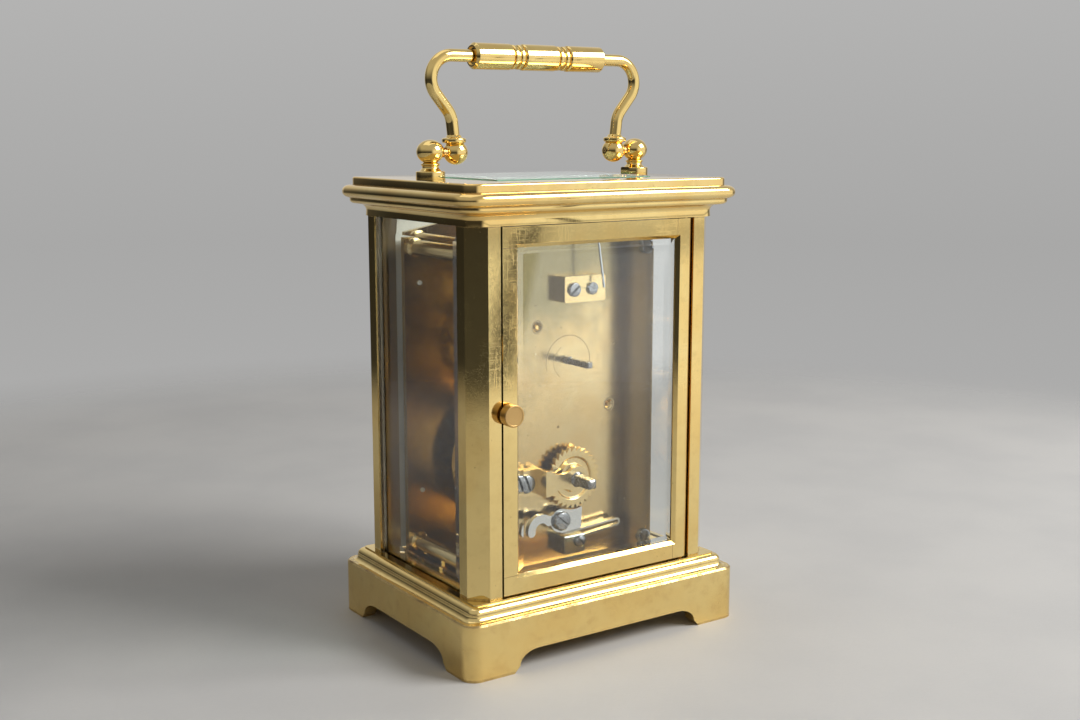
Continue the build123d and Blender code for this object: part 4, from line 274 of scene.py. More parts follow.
def brass(name, **changes):
    look = {**brassLook, **changes}
    f = Finish(name)
    point = f.point()
    axes = f.split(point)
    cloud = f.fade(f.noise(point, 0.055, 3), 0.36, 0.66)
    mottle = f.fade(f.noise(point, 0.33, 6, 0.66), 0.45, 0.75)
    fine = f.noise(point, 2.4, 4, 0.6)
    specks = f.fade(f.noise(point, 1.7, 2), 0.735, 0.79) * look["specks"]
    hair = hairlines(f, point, look["hair"])
    grime = specks
    for axis, centre, half, amount in look["grime"]:  # dirt that has settled along a joint at a known height
        edge = axes[axis] + (fine - 0.5) * half * 1.4
        grime = largest(grime, f.line(edge, centre, half) * amount * (mottle * 0.5 + 0.5))
    colour = f.between(cloud * look["cloud"], look["colour"], look["warm"])
    colour = f.between(mottle * look["mottle"], colour, look["dull"])
    if look["joints"]:  # hairlines where the door's rails meet its stiles, on its outer face only
        low, high, side, edge, face = look["joints"]
        x, y, z = axes
        level = largest(f.line(z, low, 0.08), f.line(z, high, 0.08))
        level = level * f.fade(x, side, side + 0.1) * f.fade(x, edge, edge - 0.1)
        upright = f.line(x, -side, 0.08) * largest(f.fade(z, low, low - 0.1), f.fade(z, high, high + 0.1))
        grime = largest(grime, largest(level, upright) * f.fade(y, face - 0.3, face - 0.1) * 0.85)
    colour = f.between(grime, colour, look["stain"])
    rough = mottle * 0.035 + cloud * 0.015 + hair * 0.1 + grime * 0.35 + (look["rough"] + look["satin"])
    if look["inside"]:  # faces within the case were never polished: their reach along X, along Y and across
        alongX, alongY, corner = look["inside"]
        farX, farY = abs(axes[0]), abs(axes[1])
        within = f.fade(farX, alongX, alongX - 0.1) * f.fade(farY, alongY, alongY - 0.1)
        within = within * f.fade(farX + farY, corner, corner - 0.1)
        colour = f.between(within * 0.8, colour, look["tarnish"])
        rough = rough + within * 0.22
    if "satinBelow" in look:
        below = f.fade(axes[2], look["satinBelow"] + 0.15, look["satinBelow"] - 0.15)
        rough = rough + below * look["satinExtra"]
    pitted = f.fade(f.noise(point, 3.4, 3, 0.6), 0.55, 0.75)
    height = f.noise(point, 0.22, 2) * look["wave"] * 10 - hair * 0.1 + fine * 0.02 - pitted * look["pits"]
    if look["grain"]:
        drawn = f.noise(f.stretched(point, look["grain"]), 1.0, 4, 0.7)
        rough = rough + (drawn - 0.5) * 0.16
        height = height + drawn * look["grainDepth"]
        colour = f.between(f.fade(drawn, 0.3, 0.75) * 0.22, colour, look["dull"])
    return f.show(Base_Color=colour, Metallic=1.0 - grime * 0.55, Roughness=rough,
                  Normal=f.relief(height, 0.03))


def steel(name, colour, rough, rust=0.25, grain=(0.4, 6.0, 6.0)):
    f = Finish(name)
    point = f.point()
    drawn = f.noise(f.stretched(point, grain, (0.2, 0.4, 0.6)), 1.0, 3, 0.6)
    patch = f.fade(f.noise(point, 0.9, 5, 0.7), 0.52, 0.78)
    dots = f.fade(f.noise(point, 5.0, 2), 0.72, 0.8)
    shade = f.between(patch * rust, colour, (0.10, 0.075, 0.055))
    shade = f.between(dots * 0.6, shade, (0.08, 0.05, 0.035))
    return f.show(Base_Color=shade, Metallic=1.0 - dots * 0.5,
                  Roughness=drawn * 0.12 + patch * 0.15 + (rough - 0.06), Normal=f.relief(drawn, 0.004))


caseBrass = brass("caseBrass", joints=(21.7, 98.4, 23.1, 27.7, 26.9), inside=(35.0, 26.0, 58.0),
                  grime=((2, 17.1, 0.3, 0.8), (2, 103.3, 0.25, 0.7)))
baseBrass = brass("baseBrass", satinBelow=13.15, satinExtra=0.14, hair=0.5, mottle=0.35,
                  grime=((2, 13.3, 0.28, 0.95), (2, 15.05, 0.16, 0.6), (2, 0.2, 0.5, 0.7),
                         (2, 16.75, 0.12, 0.5)))
corniceBrass = brass("corniceBrass", warm=(0.85, 0.54, 0.17), cloud=0.6, wave=0.004, hair=0.15, pits=0.0,
                     grime=((2, 106.4, 0.14, 0.5), (2, 107.8, 0.17, 0.85), (2, 111.05, 0.13, 0.7)))
handleBrass = brass("handleBrass", colour=(0.89, 0.67, 0.26), mottle=0.3, hair=0.1, wave=0.012, pits=0.0,
                    specks=0.35)
knobBrass = brass("knobBrass", colour=(0.62, 0.40, 0.16), warm=(0.50, 0.30, 0.11), rough=0.24, satin=0.08,
                  mottle=0.6)
frameBrass = brass("frameBrass", colour=(0.80, 0.64, 0.34), warm=(0.74, 0.52, 0.22), rough=0.2,
                   grain=(7.0, 7.0, 0.35), grainDepth=0.05)
wheelBrass = brass("wheelBrass", colour=(0.80, 0.60, 0.26), warm=(0.68, 0.42, 0.15), rough=0.26, mottle=0.5)
ratchetBrass = brass("ratchetBrass", colour=(0.80, 0.63, 0.33), rough=0.14, mottle=0.2)
springBrass = brass("springBrass", colour=(0.62, 0.58, 0.48), warm=(0.60, 0.53, 0.40), rough=0.16, mottle=0.2)
giltBrass = brass("giltBrass", colour=(0.84, 0.64, 0.27), rough=0.34, grain=(9.0, 9.0, 9.0), grainDepth=0.12,
                  hair=0.1)
brightSteel = steel("brightSteel", (0.56, 0.585, 0.61), 0.13)
screwSteel = steel("screwSteel", (0.30, 0.31, 0.325), 0.2, 0.35)
blockSteel = steel("blockSteel", (0.50, 0.53, 0.46), 0.16, 0.2)
clickSteel = steel("clickSteel", (0.74, 0.74, 0.72), 0.12, 0.12)
darkSteel = steel("darkSteel", (0.27, 0.26, 0.25), 0.26, 0.5)
blueSteel = steel("blueSteel", (0.045, 0.07, 0.20), 0.2, 0.1)
springSteel = steel("springSteel", (0.22, 0.23, 0.26), 0.25, 0.4)

plateLook = {"colour": (0.70, 0.54, 0.28), "warm": (0.68, 0.46, 0.19), "dull": (0.44, 0.34, 0.17),
             # the fifth colour is a greenish-brown for tarnish and for the cornice's painted shadow at the
             # top
             "copper": (0.80, 0.50, 0.24), "oliveShade": (0.21, 0.19, 0.105), "stain": (0.12, 0.075, 0.04),
             # the arc's centre x and z, radius and half width; a dot's x, z and radius; a sink's x and z
             "arc": (-0.4, 68.1, 6.6, 0.12), "sinks": ((8.8, 77.4), (-13.1, 56.0)),
             "dots": ((2.6, 52.0, 0.42), (-14.3, 71.6, 0.34), (-18.4, 30.5, 0.36))}


def backPlateFinish(look):
    # pale drawn brass, coppery low down, darkened to a greenish-brown towards the top and the +X side as
    # tarnish and painted shadow of the cornice and top rail, with dark pits and a scribed arc
    f = Finish("plateBrass")
    point = f.point()
    x, y, z = f.split(point)
    drawn = f.noise(f.stretched(point, (5.0, 5.0, 0.22)), 1.0, 5, 0.7)
    cloud = f.fade(f.noise(point, 0.075, 4, 0.6), 0.38, 0.68)
    mottle = f.fade(f.noise(point, 0.5, 6, 0.7), 0.48, 0.78)
    fine = f.noise(point, 2.6, 4, 0.6)
    low = f.fade(z + x * -0.35 + (f.noise(point, 0.16, 4, 0.6) - 0.5) * 22, 25.0, 12.0)
    # painted shadow of the cornice and top rail, partly tarnish: darker towards the top and the +X side
    oliveShade = f.fade(z + x * 0.55 + (f.noise(point, 0.12, 3) - 0.5) * 26, 64.0, 92.0)
    copper = largest(low, f.fade(f.noise(point, 0.11, 3), 0.6, 0.74) * 0.35)
    colour = f.between(cloud * 0.55, look["colour"], look["warm"])
    colour = f.between(mottle * 0.3, colour, look["dull"])
    colour = f.between(copper * 0.5, colour, look["copper"])
    # the painted shadow and tarnish at the top, mixed in
    colour = f.between(oliveShade * 0.85, colour, look["oliveShade"])
    arcX, arcZ, arcRadius, arcHalf = look["arc"]
    across, up = x - arcX, z - arcZ
    reach = (across * across + up * up).maths("SQRT")
    scribed = f.line(reach + (fine - 0.5) * 0.3, arcRadius, arcHalf) * f.fade(up, -2.6, -0.6)
    inner = f.line(reach + (fine - 0.5) * 0.4, arcRadius - 2.3, arcHalf) * f.fade(across, 0.5, 3.0) * 0.5
    scribed = largest(scribed, inner)
    stain = scribed * 0.75
    for dotX, dotZ, half in look["dots"]:
        away = ((x - dotX) * (x - dotX) + (z - dotZ) * (z - dotZ)).maths("SQRT")
        stain = largest(stain, f.fade(away, half, half * 0.4))
    for sinkX, sinkZ in look["sinks"]:
        away = ((x - sinkX) * (x - sinkX) + (z - sinkZ) * (z - sinkZ)).maths("SQRT")
        stain = largest(stain, f.line(away + (fine - 0.5) * 0.5, 1.45, 0.35) * 0.45)
    stain = largest(stain, f.fade(f.noise(point, 1.3, 2), 0.75, 0.8) * 0.7)
    colour = f.between(stain, colour, look["stain"])
    hair = hairlines(f, point, 0.35)
    rough = drawn * 0.10 + mottle * 0.06 + stain * 0.3 + hair * 0.1 + 0.13
    return f.show(Base_Color=colour, Metallic=1.0 - stain * 0.6, Roughness=rough,
                  Normal=f.relief(drawn * 0.5 + fine * 0.15 - stain - hair, 0.012))


glassLook = {"colour": (0.965, 0.985, 0.975), "edge": (0.42, 0.72, 0.62), "dust": 0.55, "clear": 1.0}


def paneGlass(name, look, thinAxis):
    # clear glass: greenish through its narrow sides, with dust specks and wiped streaks in its gloss
    f = Finish(name)
    point = f.point()
    normal = f.node("ShaderNodeTexCoord", output="Normal")
    along = abs(f.split(normal)[thinAxis])
    specks = f.fade(f.noise(point, 1.1, 3, 0.6), 0.70, 0.78) * look["dust"]
    streak = f.line(f.noise(f.stretched(point, (0.07, 0.9, 0.5), (0.2, 0.9, 0.5)), 1.0, 3), 0.5, 0.008)
    streak = streak * f.fade(f.noise(point, 0.06, 2), 0.5, 0.62)
    colour = f.between(f.fade(along, 0.55, 0.2), look["colour"], look["edge"])
    clear = f.node("ShaderNodeBsdfTransparent", None, {"Color": (0.93, 0.96, 0.94, 1)})
    glass = f.node("ShaderNodeBsdfPrincipled", None, {
        "Base Color": colour, "Roughness": specks * 0.4 + streak * 0.25, "IOR": 1.5,
        "Transmission Weight": look["clear"]})
    shadow = f.node("ShaderNodeLightPath", output="Is Shadow Ray")
    mixed = f.node("ShaderNodeMixShader", None, {0: shadow, 1: glass, 2: clear})
    f.node("ShaderNodeOutputMaterial", None, {"Surface": mixed})
    return f


dialLook = {"colour": (0.84, 0.83, 0.78), "ink": (0.012, 0.012, 0.014), "centre": (0.0, 68.6),
            "track": (19.1, 20.3), "minuteHalf": 0.085}


def dialFinish(look):
    # white enamel with a printed minute track: two rings, and a stroke wherever the angle is a whole minute
    f = Finish("dialEnamel")
    point = f.point()
    x, y, z = f.split(point)
    across, up = x - look["centre"][0], z - look["centre"][1]
    reach = (across * across + up * up).maths("SQRT")
    minutes = across.maths("ARCTAN2", up) * (60 / (2 * math.pi)) + 60.0
    offMinute = abs((minutes + 0.5).maths("FRACT") - 0.5) * reach * (2 * math.pi / 60)
    offFive = abs((minutes / 5 + 0.5).maths("FRACT") - 0.5) * reach * (2 * math.pi / 12)
    low, high = look["track"]
    inTrack = f.fade(reach, low - 0.03, low + 0.03) * f.fade(reach, high + 0.03, high - 0.03)
    strokes = largest(f.fade(offMinute, look["minuteHalf"] + 0.03, look["minuteHalf"] - 0.03),
                      f.fade(offFive, 0.26, 0.2)) * inTrack
    rings = largest(f.line(reach, low, 0.09), f.line(reach, high, 0.09))
    printed = largest(strokes, rings)
    cloud = f.fade(f.noise(point, 0.08, 4), 0.4, 0.7)
    crack = f.line(f.noise(point, 0.10, 4, 0.6), 0.5, 0.0035) * f.fade(f.noise(point, 0.05, 2), 0.55, 0.62)
    colour = f.between(cloud * 0.35, look["colour"], (0.80, 0.77, 0.68))
    colour = f.between(largest(printed, crack * 0.35), colour, look["ink"])
    return f.show(Base_Color=colour, Roughness=cloud * 0.05 + 0.16, Coat_Weight=0.5,
                  Normal=f.relief(f.noise(point, 0.5, 2), 0.01))


plateBrass = backPlateFinish(plateLook)
doorGlass = paneGlass("doorGlass", glassLook, 1)
sideGlass = paneGlass("sideGlass", glassLook, 0)
topGlass = paneGlass("topGlass", {**glassLook, "colour": (0.80, 0.87, 0.82), "clear": 0.62}, 2)
dialEnamel = dialFinish(dialLook)

nodeFinishes = {
    baseBrass: ("base", "case_screws"), corniceBrass: ("cornice",), knobBrass: ("door_knob",),
    caseBrass: ("post_rear_lock", "post_rear_hinge", "post_front_left", "post_front_right",
                "door_hinge_stile", "door_lock_stile", "door_bottom_rail", "door_top_rail",
                "door_catch_spring", "door_pivot_pins"),
    handleBrass: ("handle_posts", "handle_pivot_screws", "handle_arm_left", "handle_arm_right",
                  "handle_grip"),
    plateBrass: ("back_plate",), ratchetBrass: ("ratchet_wheel",), springBrass: ("click_spring",),
    giltBrass: ("dial_mask",),
    frameBrass: ("front_plate", "movement_pillars", "contrate_cock", "winding_bridge", "platform_plate",
                 "escape_cock", "balance_cock"),
    wheelBrass: ("barrel", "barrel_cap", "intermediate_wheel", "centre_wheel", "third_wheel",
                 "contrate_wheel", "minute_wheel", "hour_wheel", "balance_wheel", "escape_wheel"),
    brightSteel: ("movement_screws", "platform_screws", "regulator_index", "pallet_lever"),
    blockSteel: ("click_spring_block",), clickSteel: ("click",), springSteel: ("mainspring",),
    darkSteel: ("barrel_arbor", "centre_arbor", "minute_stud"),
    blueSteel: ("hour_hand", "minute_hand", "hairspring"),
    doorGlass: ("door_glass", "front_glass"), sideGlass: ("side_glass_left", "side_glass_right"),
    topGlass: ("top_glass",), dialEnamel: ("dial",)}
for finish, names in nodeFinishes.items():
    for name in names:
        for materialSlot in nodes[name].material_slots:
            materialSlot.material = finish.material
print("finishes on", sum(len(names) for names in nodeFinishes.values()), "nodes")


# handle

postLook = {"x": 30.5, "seat": 113.0, "ringRadius": 3.5, "ringTop": 1.9, "neckRadius": 1.95,
            "ballRadius": 3.3, "ballHalf": 2.85, "ballCentre": 119.4, "innerFace": 27.5}


def handlePost(look, side):
    # lathe profile: foot ring, waist, then an ellipse; the ball's inner side is flat where the arm swings
    angle = np.linspace(-1.05, math.pi / 2, 40)
    ball = np.stack([look["ballCentre"] - look["seat"] + look["ballHalf"] * np.sin(angle),
                     look["ballRadius"] * np.cos(angle)], axis=1)
    ring, top, neck = look["ringRadius"], look["ringTop"], look["neckRadius"]
    foot = roundCorners([(-0.05, 0), (-0.05, ring), (top, ring), (top, neck + 0.75), (top + 0.75, neck),
                         (3.1, neck + 0.05), (3.45, neck + 0.5), tuple(ball[0])],
                        [0.02, 0.28, 0.12, 0.5, 0.3, 0.25], 6)
    ball[-1, 1] = 0
    grid = turned(np.concatenate([foot, ball[1:]]), (look["x"], 0, look["seat"]))
    grid[..., 0] = np.maximum(grid[..., 0], look["innerFace"])
    return shell(grid if side > 0 else mirrored(grid))


makePiece("handle_post_pair", [handlePost(postLook, side) for side in (1, -1)], handleBrass, "case",
          ["handle_posts"])

armLook = {"ballX": 23.6, "flatX": 20.78, "pivotZ": 119.2, "ballRadius": 2.95, "rodRadius": 1.5,
           # the collar's middle, its profile as heights and radii, and the roundings of its inner corners
           "collarX": 24.0, "collarZ": 121.55,
           "collar": ((-1.5, 0), (-1.5, 1.6), (-0.75, 1.85), (-0.2, 2.0), (-0.1, 2.85), (0.95, 2.95),
                      (1.15, 2.0), (1.75, 1.62), (1.75, 0)),
           "collarBends": (0.1, 0.3, 0.4, 0.35, 0.4, 0.3, 0.2),
           # the rod's corners in x and z, their roundings, and the share of a run that a rounding may take
           "path": ((23.8, 120.2), (24.7, 127.92), (36.3, 141.8), (15.2, 141.8)), "bends": (6.0, 5.5),
           "runShare": 0.68}


def handleArm(look, side):
    # three shells: a ball turned about the pivot, a collar turned upright, and round rod along a path
    start = math.acos((look["ballX"] - look["flatX"]) / look["ballRadius"])
    angle = np.linspace(start, math.pi, 48)
    ball = np.stack([-look["ballRadius"] * np.cos(angle), look["ballRadius"] * np.sin(angle)], axis=1)
    ball = np.concatenate([[(ball[0, 0], 0)], ball])
    ball[-1, 1] = 0
    collar = roundCorners(look["collar"], look["collarBends"], 6)
    flat = roundCorners(look["path"], look["bends"], 26, look["runShare"])
    path = np.stack([flat[:, 0], np.zeros(len(flat)), flat[:, 1]], axis=1)
    gap = np.linalg.norm(np.diff(path, axis=0), axis=1)
    path = path[np.concatenate([[True], gap > 1e-4])]
    rod = tube(path, np.full(len(path), look["rodRadius"]))
    first, last = (np.repeat(end[None, None], rod.shape[1], 1) for end in (path[0], path[-1]))
    rod = np.concatenate([first, rod, last])
    grids = [turned(ball, (look["ballX"], 0, look["pivotZ"]), "x"),
             turned(collar, (look["collarX"], 0, look["collarZ"])), rod]
    return [shell(grid if side > 0 else mirrored(grid)) for grid in grids]


for side, name in ((1, "right"), (-1, "left")):
    makePiece(f"handle_arm_{name}_turned", handleArm(armLook, side), handleBrass, "handle",
              [f"handle_arm_{name}"])

pinLook = {"z": 119.2, "inner": 20.7, "step": 21.6, "face": 27.5, "tail": 3.0, "tip": 0.5, "shoulder": 1.15,
           "thread": 0.9}


def pivotPin(look, side):
    # a stepped pin turned about X: a peened end in the arm's ball, a shoulder, and its thread in the post
    inner, step, face, end = look["inner"], look["step"], look["face"], look["face"] + look["tail"]
    tip, shoulder, thread = look["tip"], look["shoulder"], look["thread"]
    profile = roundCorners([(inner, 0), (inner, tip), (step, tip), (step, shoulder), (face, shoulder),
                            (face, thread), (end, thread), (end, 0)], [0.2, 0.02, 0.05, 0.02, 0.02, 0.02], 4)
    grid = turned(profile, (0, 0, look["z"]), "x", 48)
    return shell(grid if side > 0 else mirrored(grid))


makePiece("handle_pivot_pins", [pivotPin(pinLook, side) for side in (1, -1)], knobBrass, "case",
          ["handle_pivot_screws"])

gripLook = {"z": 141.8, "half": 18.9, "radius": 3.15, "neck": 2.45, "bead": 2.95, "beadStart": 4.9,
            "beadWidth": 1.7, "mouth": 2.1, "mouthDepth": 0.45}


def handleGrip(look):
    # half a profile, mirrored: a barrel, two beads between grooves, an outer barrel and a chamfered end
    radius, neck, bead = look["radius"], look["neck"], look["bead"]
    start, width = look["beadStart"], look["beadWidth"]
    half = [(start - 0.3, radius), (start, radius - 0.3), (start, neck)]
    bends = [0.25, 0.12, 0.1]
    for near in (start, start + width):
        far = near + width
        half += [(near + 0.2, neck), (near + 0.3, bead - 0.15), (near + 0.55, bead), (far - 0.55, bead),
                 (far - 0.3, bead - 0.15), (far - 0.2, neck)]
        bends += [0.1, 0.2, 0.3, 0.3, 0.2, 0.1]
    outer, end, mouth = start + 2 * width, look["half"], look["mouth"]
    half += [(outer, neck), (outer, radius - 0.3), (outer + 0.3, radius), (end - 0.55, radius),
             (end, radius - 0.6), (end, mouth), (end - look["mouthDepth"], mouth),
             (end - look["mouthDepth"], 0)]
    bends += [0.1, 0.12, 0.25, 0.2, 0.1, 0.1, 0.1]
    whole = [(-x, r) for x, r in reversed(half)] + half
    return shell(turned(roundCorners(whole, bends[::-1] + bends, 6), (0, 0, look["z"]), "x"))


makePiece("handle_grip_turned", [handleGrip(gripLook)], handleBrass, "handle", ["handle_grip"])
print("handle turned")


# cornice and door glass

corniceLook = {"halfX": 35.4, "halfY": 26.9, "bottom": 103.4, "top": 113.0,
               # half width, half depth and height of the hollow and of the glass's rebate; then the opening
               "cavity": (27.5, 21.0, 109.3), "rebate": (22.6, 16.6, 111.0), "light": (20.5, 14.5),
               "innerCorner": 0.2,
               # fascia: overhang; cove: radius, top; band and plate: overhang, rounding; torus: overhang,
               # rounding, bottom, top
               "fascia": 0.2, "cove": (1.7, 106.4), "band": (3.3, 0.9), "torus": (4.7, 1.5, 107.8, 111.0),
               "plate": (2.3, 0.5),
               # corner radii by height: fascia, band, torus, then the top plate
               "corners": ((103.4, 4.4), (106.4, 4.9), (107.8, 5.0), (111.0, 5.2), (111.001, 3.5),
                           (113.0, 3.5))}


def corniceRing(look):
    # the moulding's profile carried round a rounded rectangle: fascia, quarter cove, banded fillet, torus
    # and top plate, then over into the glass's rebate, through the opening and down inside the cavity
    fascia, (coveRadius, coveTop), (band, bandRound) = look["fascia"], look["cove"], look["band"]
    (torus, torusRound, torusLow, torusHigh), (plate, plateRound) = look["torus"], look["plate"]
    outer = np.concatenate([
        [(fascia, look["bottom"])], arc((fascia + coveRadius, coveTop - coveRadius), coveRadius, 180, 90),
        arc((band - bandRound, coveTop + bandRound), bandRound, -90, 0), [(band, torusLow)],
        arc((torus - torusRound, torusLow + torusRound), torusRound, -84, 0),
        arc((torus - torusRound, torusHigh - torusRound), torusRound, 0, 90), [(plate, torusHigh + 0.001)],
        arc((plate - plateRound, look["top"] - plateRound), plateRound, 0, 90)])
    out, up = outer.T
    corner = np.interp(up, *zip(*look["corners"]))
    rows = np.stack([look["halfX"] + out, look["halfY"] + out, corner, up], axis=1).tolist()
    (cavityX, cavityY, ceiling), (rebateX, rebateY, seat) = look["cavity"], look["rebate"]
    (lightX, lightY), inner = look["light"], look["innerCorner"]
    rows += [(rebateX, rebateY, inner, look["top"]), (rebateX, rebateY, inner, seat),
             (lightX, lightY, inner, seat), (lightX, lightY, inner, ceiling),
             (cavityX, cavityY, inner, ceiling), (cavityX, cavityY, inner, look["bottom"])]
    return shell(framed(rows), closed=True)


makePiece("cornice_moulding", [corniceRing(corniceLook)], corniceBrass, "case", ["cornice"], 28)

doorGlassLook = {"middle": (0.0, 60.05), "half": (24.28, 39.53), "back": 23.9, "edge": 25.4, "face": 25.9,
                 "bevel": 2.7, "corner": 0.05}


def doorPane(look):
    # a slab with a narrow bevel ground round its outer face: four rectangles between two middle points
    (halfX, halfZ), bevel, corner = look["half"], look["bevel"], look["corner"]
    grid = framed([(0, 0, 0, look["back"]), (halfX, halfZ, corner, look["back"]),
                   (halfX, halfZ, corner, look["edge"]),
                   (halfX - bevel, halfZ - bevel, corner, look["face"]), (0, 0, 0, look["face"])], 3)
    x, z = look["middle"]
    return shell((grid[..., [0, 2, 1]] + np.array([x, 0, z]))[:, ::-1])


makePiece("door_glass_pane", [doorPane(doorGlassLook)], doorGlass, "door", ["door_glass"],
          3)
print("cornice and door glass shaped")


# door knob

knobLook = {"x": 26.5, "z": 60.5, "face": 26.9, "radius": 2.6, "height": 3.0, "neck": 1.6, "neckHeight": 0.6,
            "shank": 0.8, "shankLength": 2.2, "dish": 0.08}


def doorKnob(look):
    # a turned button: its shank in the stile, a neck, a drum with a soft rim, and a slightly dished face
    rim, height, neck, rise = look["radius"], look["height"], look["neck"], look["neckHeight"]
    shank, foot, dished = look["shank"], -look["shankLength"], look["height"] - look["dish"]
    profile = roundCorners([(foot, 0), (foot, shank), (0, shank), (0, neck), (rise, neck), (rise, rim),
                            (height, rim), (height, rim - 0.42), (dished, rim - 0.5), (dished, 0)],
                           [0.1, 0.02, 0.02, 0.1, 0.15, 0.18, 0.05, 0.05], 6)
    return shell(turned(profile, (look["x"], look["face"], look["z"]), "y", 80))


makePiece("door_knob_turned", [doorKnob(knobLook)], knobBrass, "door", ["door_knob"])
print("knob turned")


# movement: screws, winding square, ratchet

screwLook = {
    "slot": 0.46, "slotFloor": 0.35,
    # the shoulder that the click turns on: its foot, radius and length
    "shoulder": ((3.9, 12.0, 29.0), 1.1, 3.18),
    # centre x and z, seat y, head radius, head height, slot angle, shank radius, shank length
    "screws": ((24.6, 19.45, 12.0, 1.9, 1.1, 35, 0.8, 5.2), (24.6, 95.45, 12.0, 1.9, 1.1, 35, 0.8, 5.2),
               (-24.6, 19.45, 12.0, 1.9, 1.1, 35, 0.8, 5.2), (-24.6, 95.45, 12.0, 1.9, 1.1, 35, 0.8, 5.2),
               (0.5, 86.4, 15.6, 1.75, 0.9, -38, 0.9, 1.1), (-4.9, 86.4, 15.6, 1.55, 0.9, 20, 0.8, 4.9),
               (13.0, 39.3, 13.2, 2.3, 1.2, 70, 0.8, 2.5), (-1.2, 23.2, 16.0, 1.55, 0.9, 50, 0.8, 5.3),
               (3.9, 29.0, 15.18, 2.4, 1.3, 42, 1.05, 3.18))}


def screwHead(x, z, seat, radius, height, turn, look):
    # rows across the slot, crowded at its walls; columns along it as shares of the chord. The head is a low
    # dome with a rounded rim, and inside the slot its height is the slot's floor
    slot = look["slot"] / 2 + 0.03 * radius
    side = slot + (radius - slot) * np.sin(np.linspace(0, math.pi / 2, 18))
    within = np.linspace(-slot * 0.9, slot * 0.9, 4)
    u = np.concatenate([-side[::-1], [-slot + 1e-3], within, [slot - 1e-3], side])
    share = np.sin(np.linspace(-math.pi / 2, math.pi / 2, 34))
    share = np.concatenate([[-0.02, -1], share, [1, 0.02]])
    chord = np.sqrt(np.maximum(radius ** 2 - u ** 2, 0))
    v = share[None, :] * chord[:, None]
    away = np.sqrt(u[:, None] ** 2 + v ** 2) / radius
    dome = height - 0.18 * height * away ** 2 - 0.25 * height * np.clip((away - 0.84) / 0.16, 0, 1) ** 2
    floor = np.where(np.abs(u)[:, None] < slot - 5e-4, np.minimum(dome, height * look["slotFloor"]), dome)
    floor[:, :2] = 0
    floor[:, -2:] = 0
    angle = math.radians(turn)
    along = np.array([math.cos(angle), 0, math.sin(angle)])
    across = np.array([-math.sin(angle), 0, math.cos(angle)])
    grid = np.array([x, seat, z]) + v[..., None] * along + u[:, None, None] * across
    grid[..., 1] += floor
    return grid[:, ::-1]


def screwSet(look):
    # every screw's head and shank, and then the click's shoulder
    shells = []
    for x, z, seat, radius, height, turn, shankRadius, shankLength in look["screws"]:
        shank = roundCorners([(-shankLength, 0), (-shankLength, shankRadius), (0.1, shankRadius), (0.1, 0)],
                             [0.15, 0.02], 3)
        shells += [shell(screwHead(x, z, seat, radius, height, turn, look)),
                   shell(turned(shank, (x, seat, z), "y", 24))]
    foot, radius, length = look["shoulder"]
    shoulder = np.array([(-0.01, 0), (-0.01, radius), (length, radius), (length, 0)])
    return shells + [shell(turned(shoulder, foot, "y", 32))]


makePiece("movement_screw_set", screwSet(screwLook), screwSteel, "case", ["movement_screws"])

arborLook = {"x": 0.0, "z": 39.3, "corner": 5.0,
             # y, radius or half width, and how square the section is there
             "rows": ((-19.1, 0, 0), (-19.1, 1.5, 0), (-17.35, 1.5, 0), (-17.35, 2.6, 0), (-12.6, 2.6, 0),
                      (-12.6, 2.3, 0), (-11.2, 2.3, 0), (-11.2, 3.2, 0), (8.3, 3.2, 0), (8.3, 2.3, 0),
                      (9.5, 2.3, 0), (9.5, 2.6, 0), (10.25, 2.6, 0), (10.25, 2.05, 0), (12.1, 2.05, 0),
                      (12.1, 2.7, 0), (13.9, 2.7, 0), (13.9, 1.45, 0), (15.1, 1.45, 0), (15.1, 1.9, 0),
                      (16.85, 1.9, 0), (17.1, 1.62, 0), (17.35, 1.3, 1), (22.5, 1.25, 1),
                      (22.85, 1.16, 0.9), (23.08, 0.9, 0.7), (23.18, 0.5, 0.4), (23.2, 0, 0))}


def windingArbor(look):
    # a rod along Y; its section is a circle, or a superellipse of the power 2 + corner * squareness
    rows = np.array(look["rows"])
    angle = np.linspace(0, 2 * math.pi, 64, endpoint=False)[None, :]
    power = 2 + look["corner"] * rows[:, 2, None]
    powers = np.abs(np.cos(angle)) ** power + np.abs(np.sin(angle)) ** power
    reach = rows[:, 1, None] / powers ** (1 / power)
    grid = np.stack([look["x"] + reach * np.sin(angle), np.broadcast_to(rows[:, 0, None], reach.shape),
                     look["z"] + reach * np.cos(angle)], axis=-1)
    return shell(grid)


makePiece("winding_square", [windingArbor(arborLook)], darkSteel, "winding_arbor", ["barrel_arbor"],
          28)

ratchetLook = {"x": 0.0, "z": 39.3, "back": 13.9, "face": 15.1, "teeth": 30, "radius": 7.8, "depth": 1.0,
               "bore": 1.5, "chamfer": 0.12,
               # the face's turned ring as radii and drops, and the roundings of its inner corners
               "ring": ((3.3, 0), (3.62, 0.5), (4.98, 0.5), (5.5, 0), (6.0, 0)),
               "ringBends": (0.12, 0.15, 0.15, 0.12)}


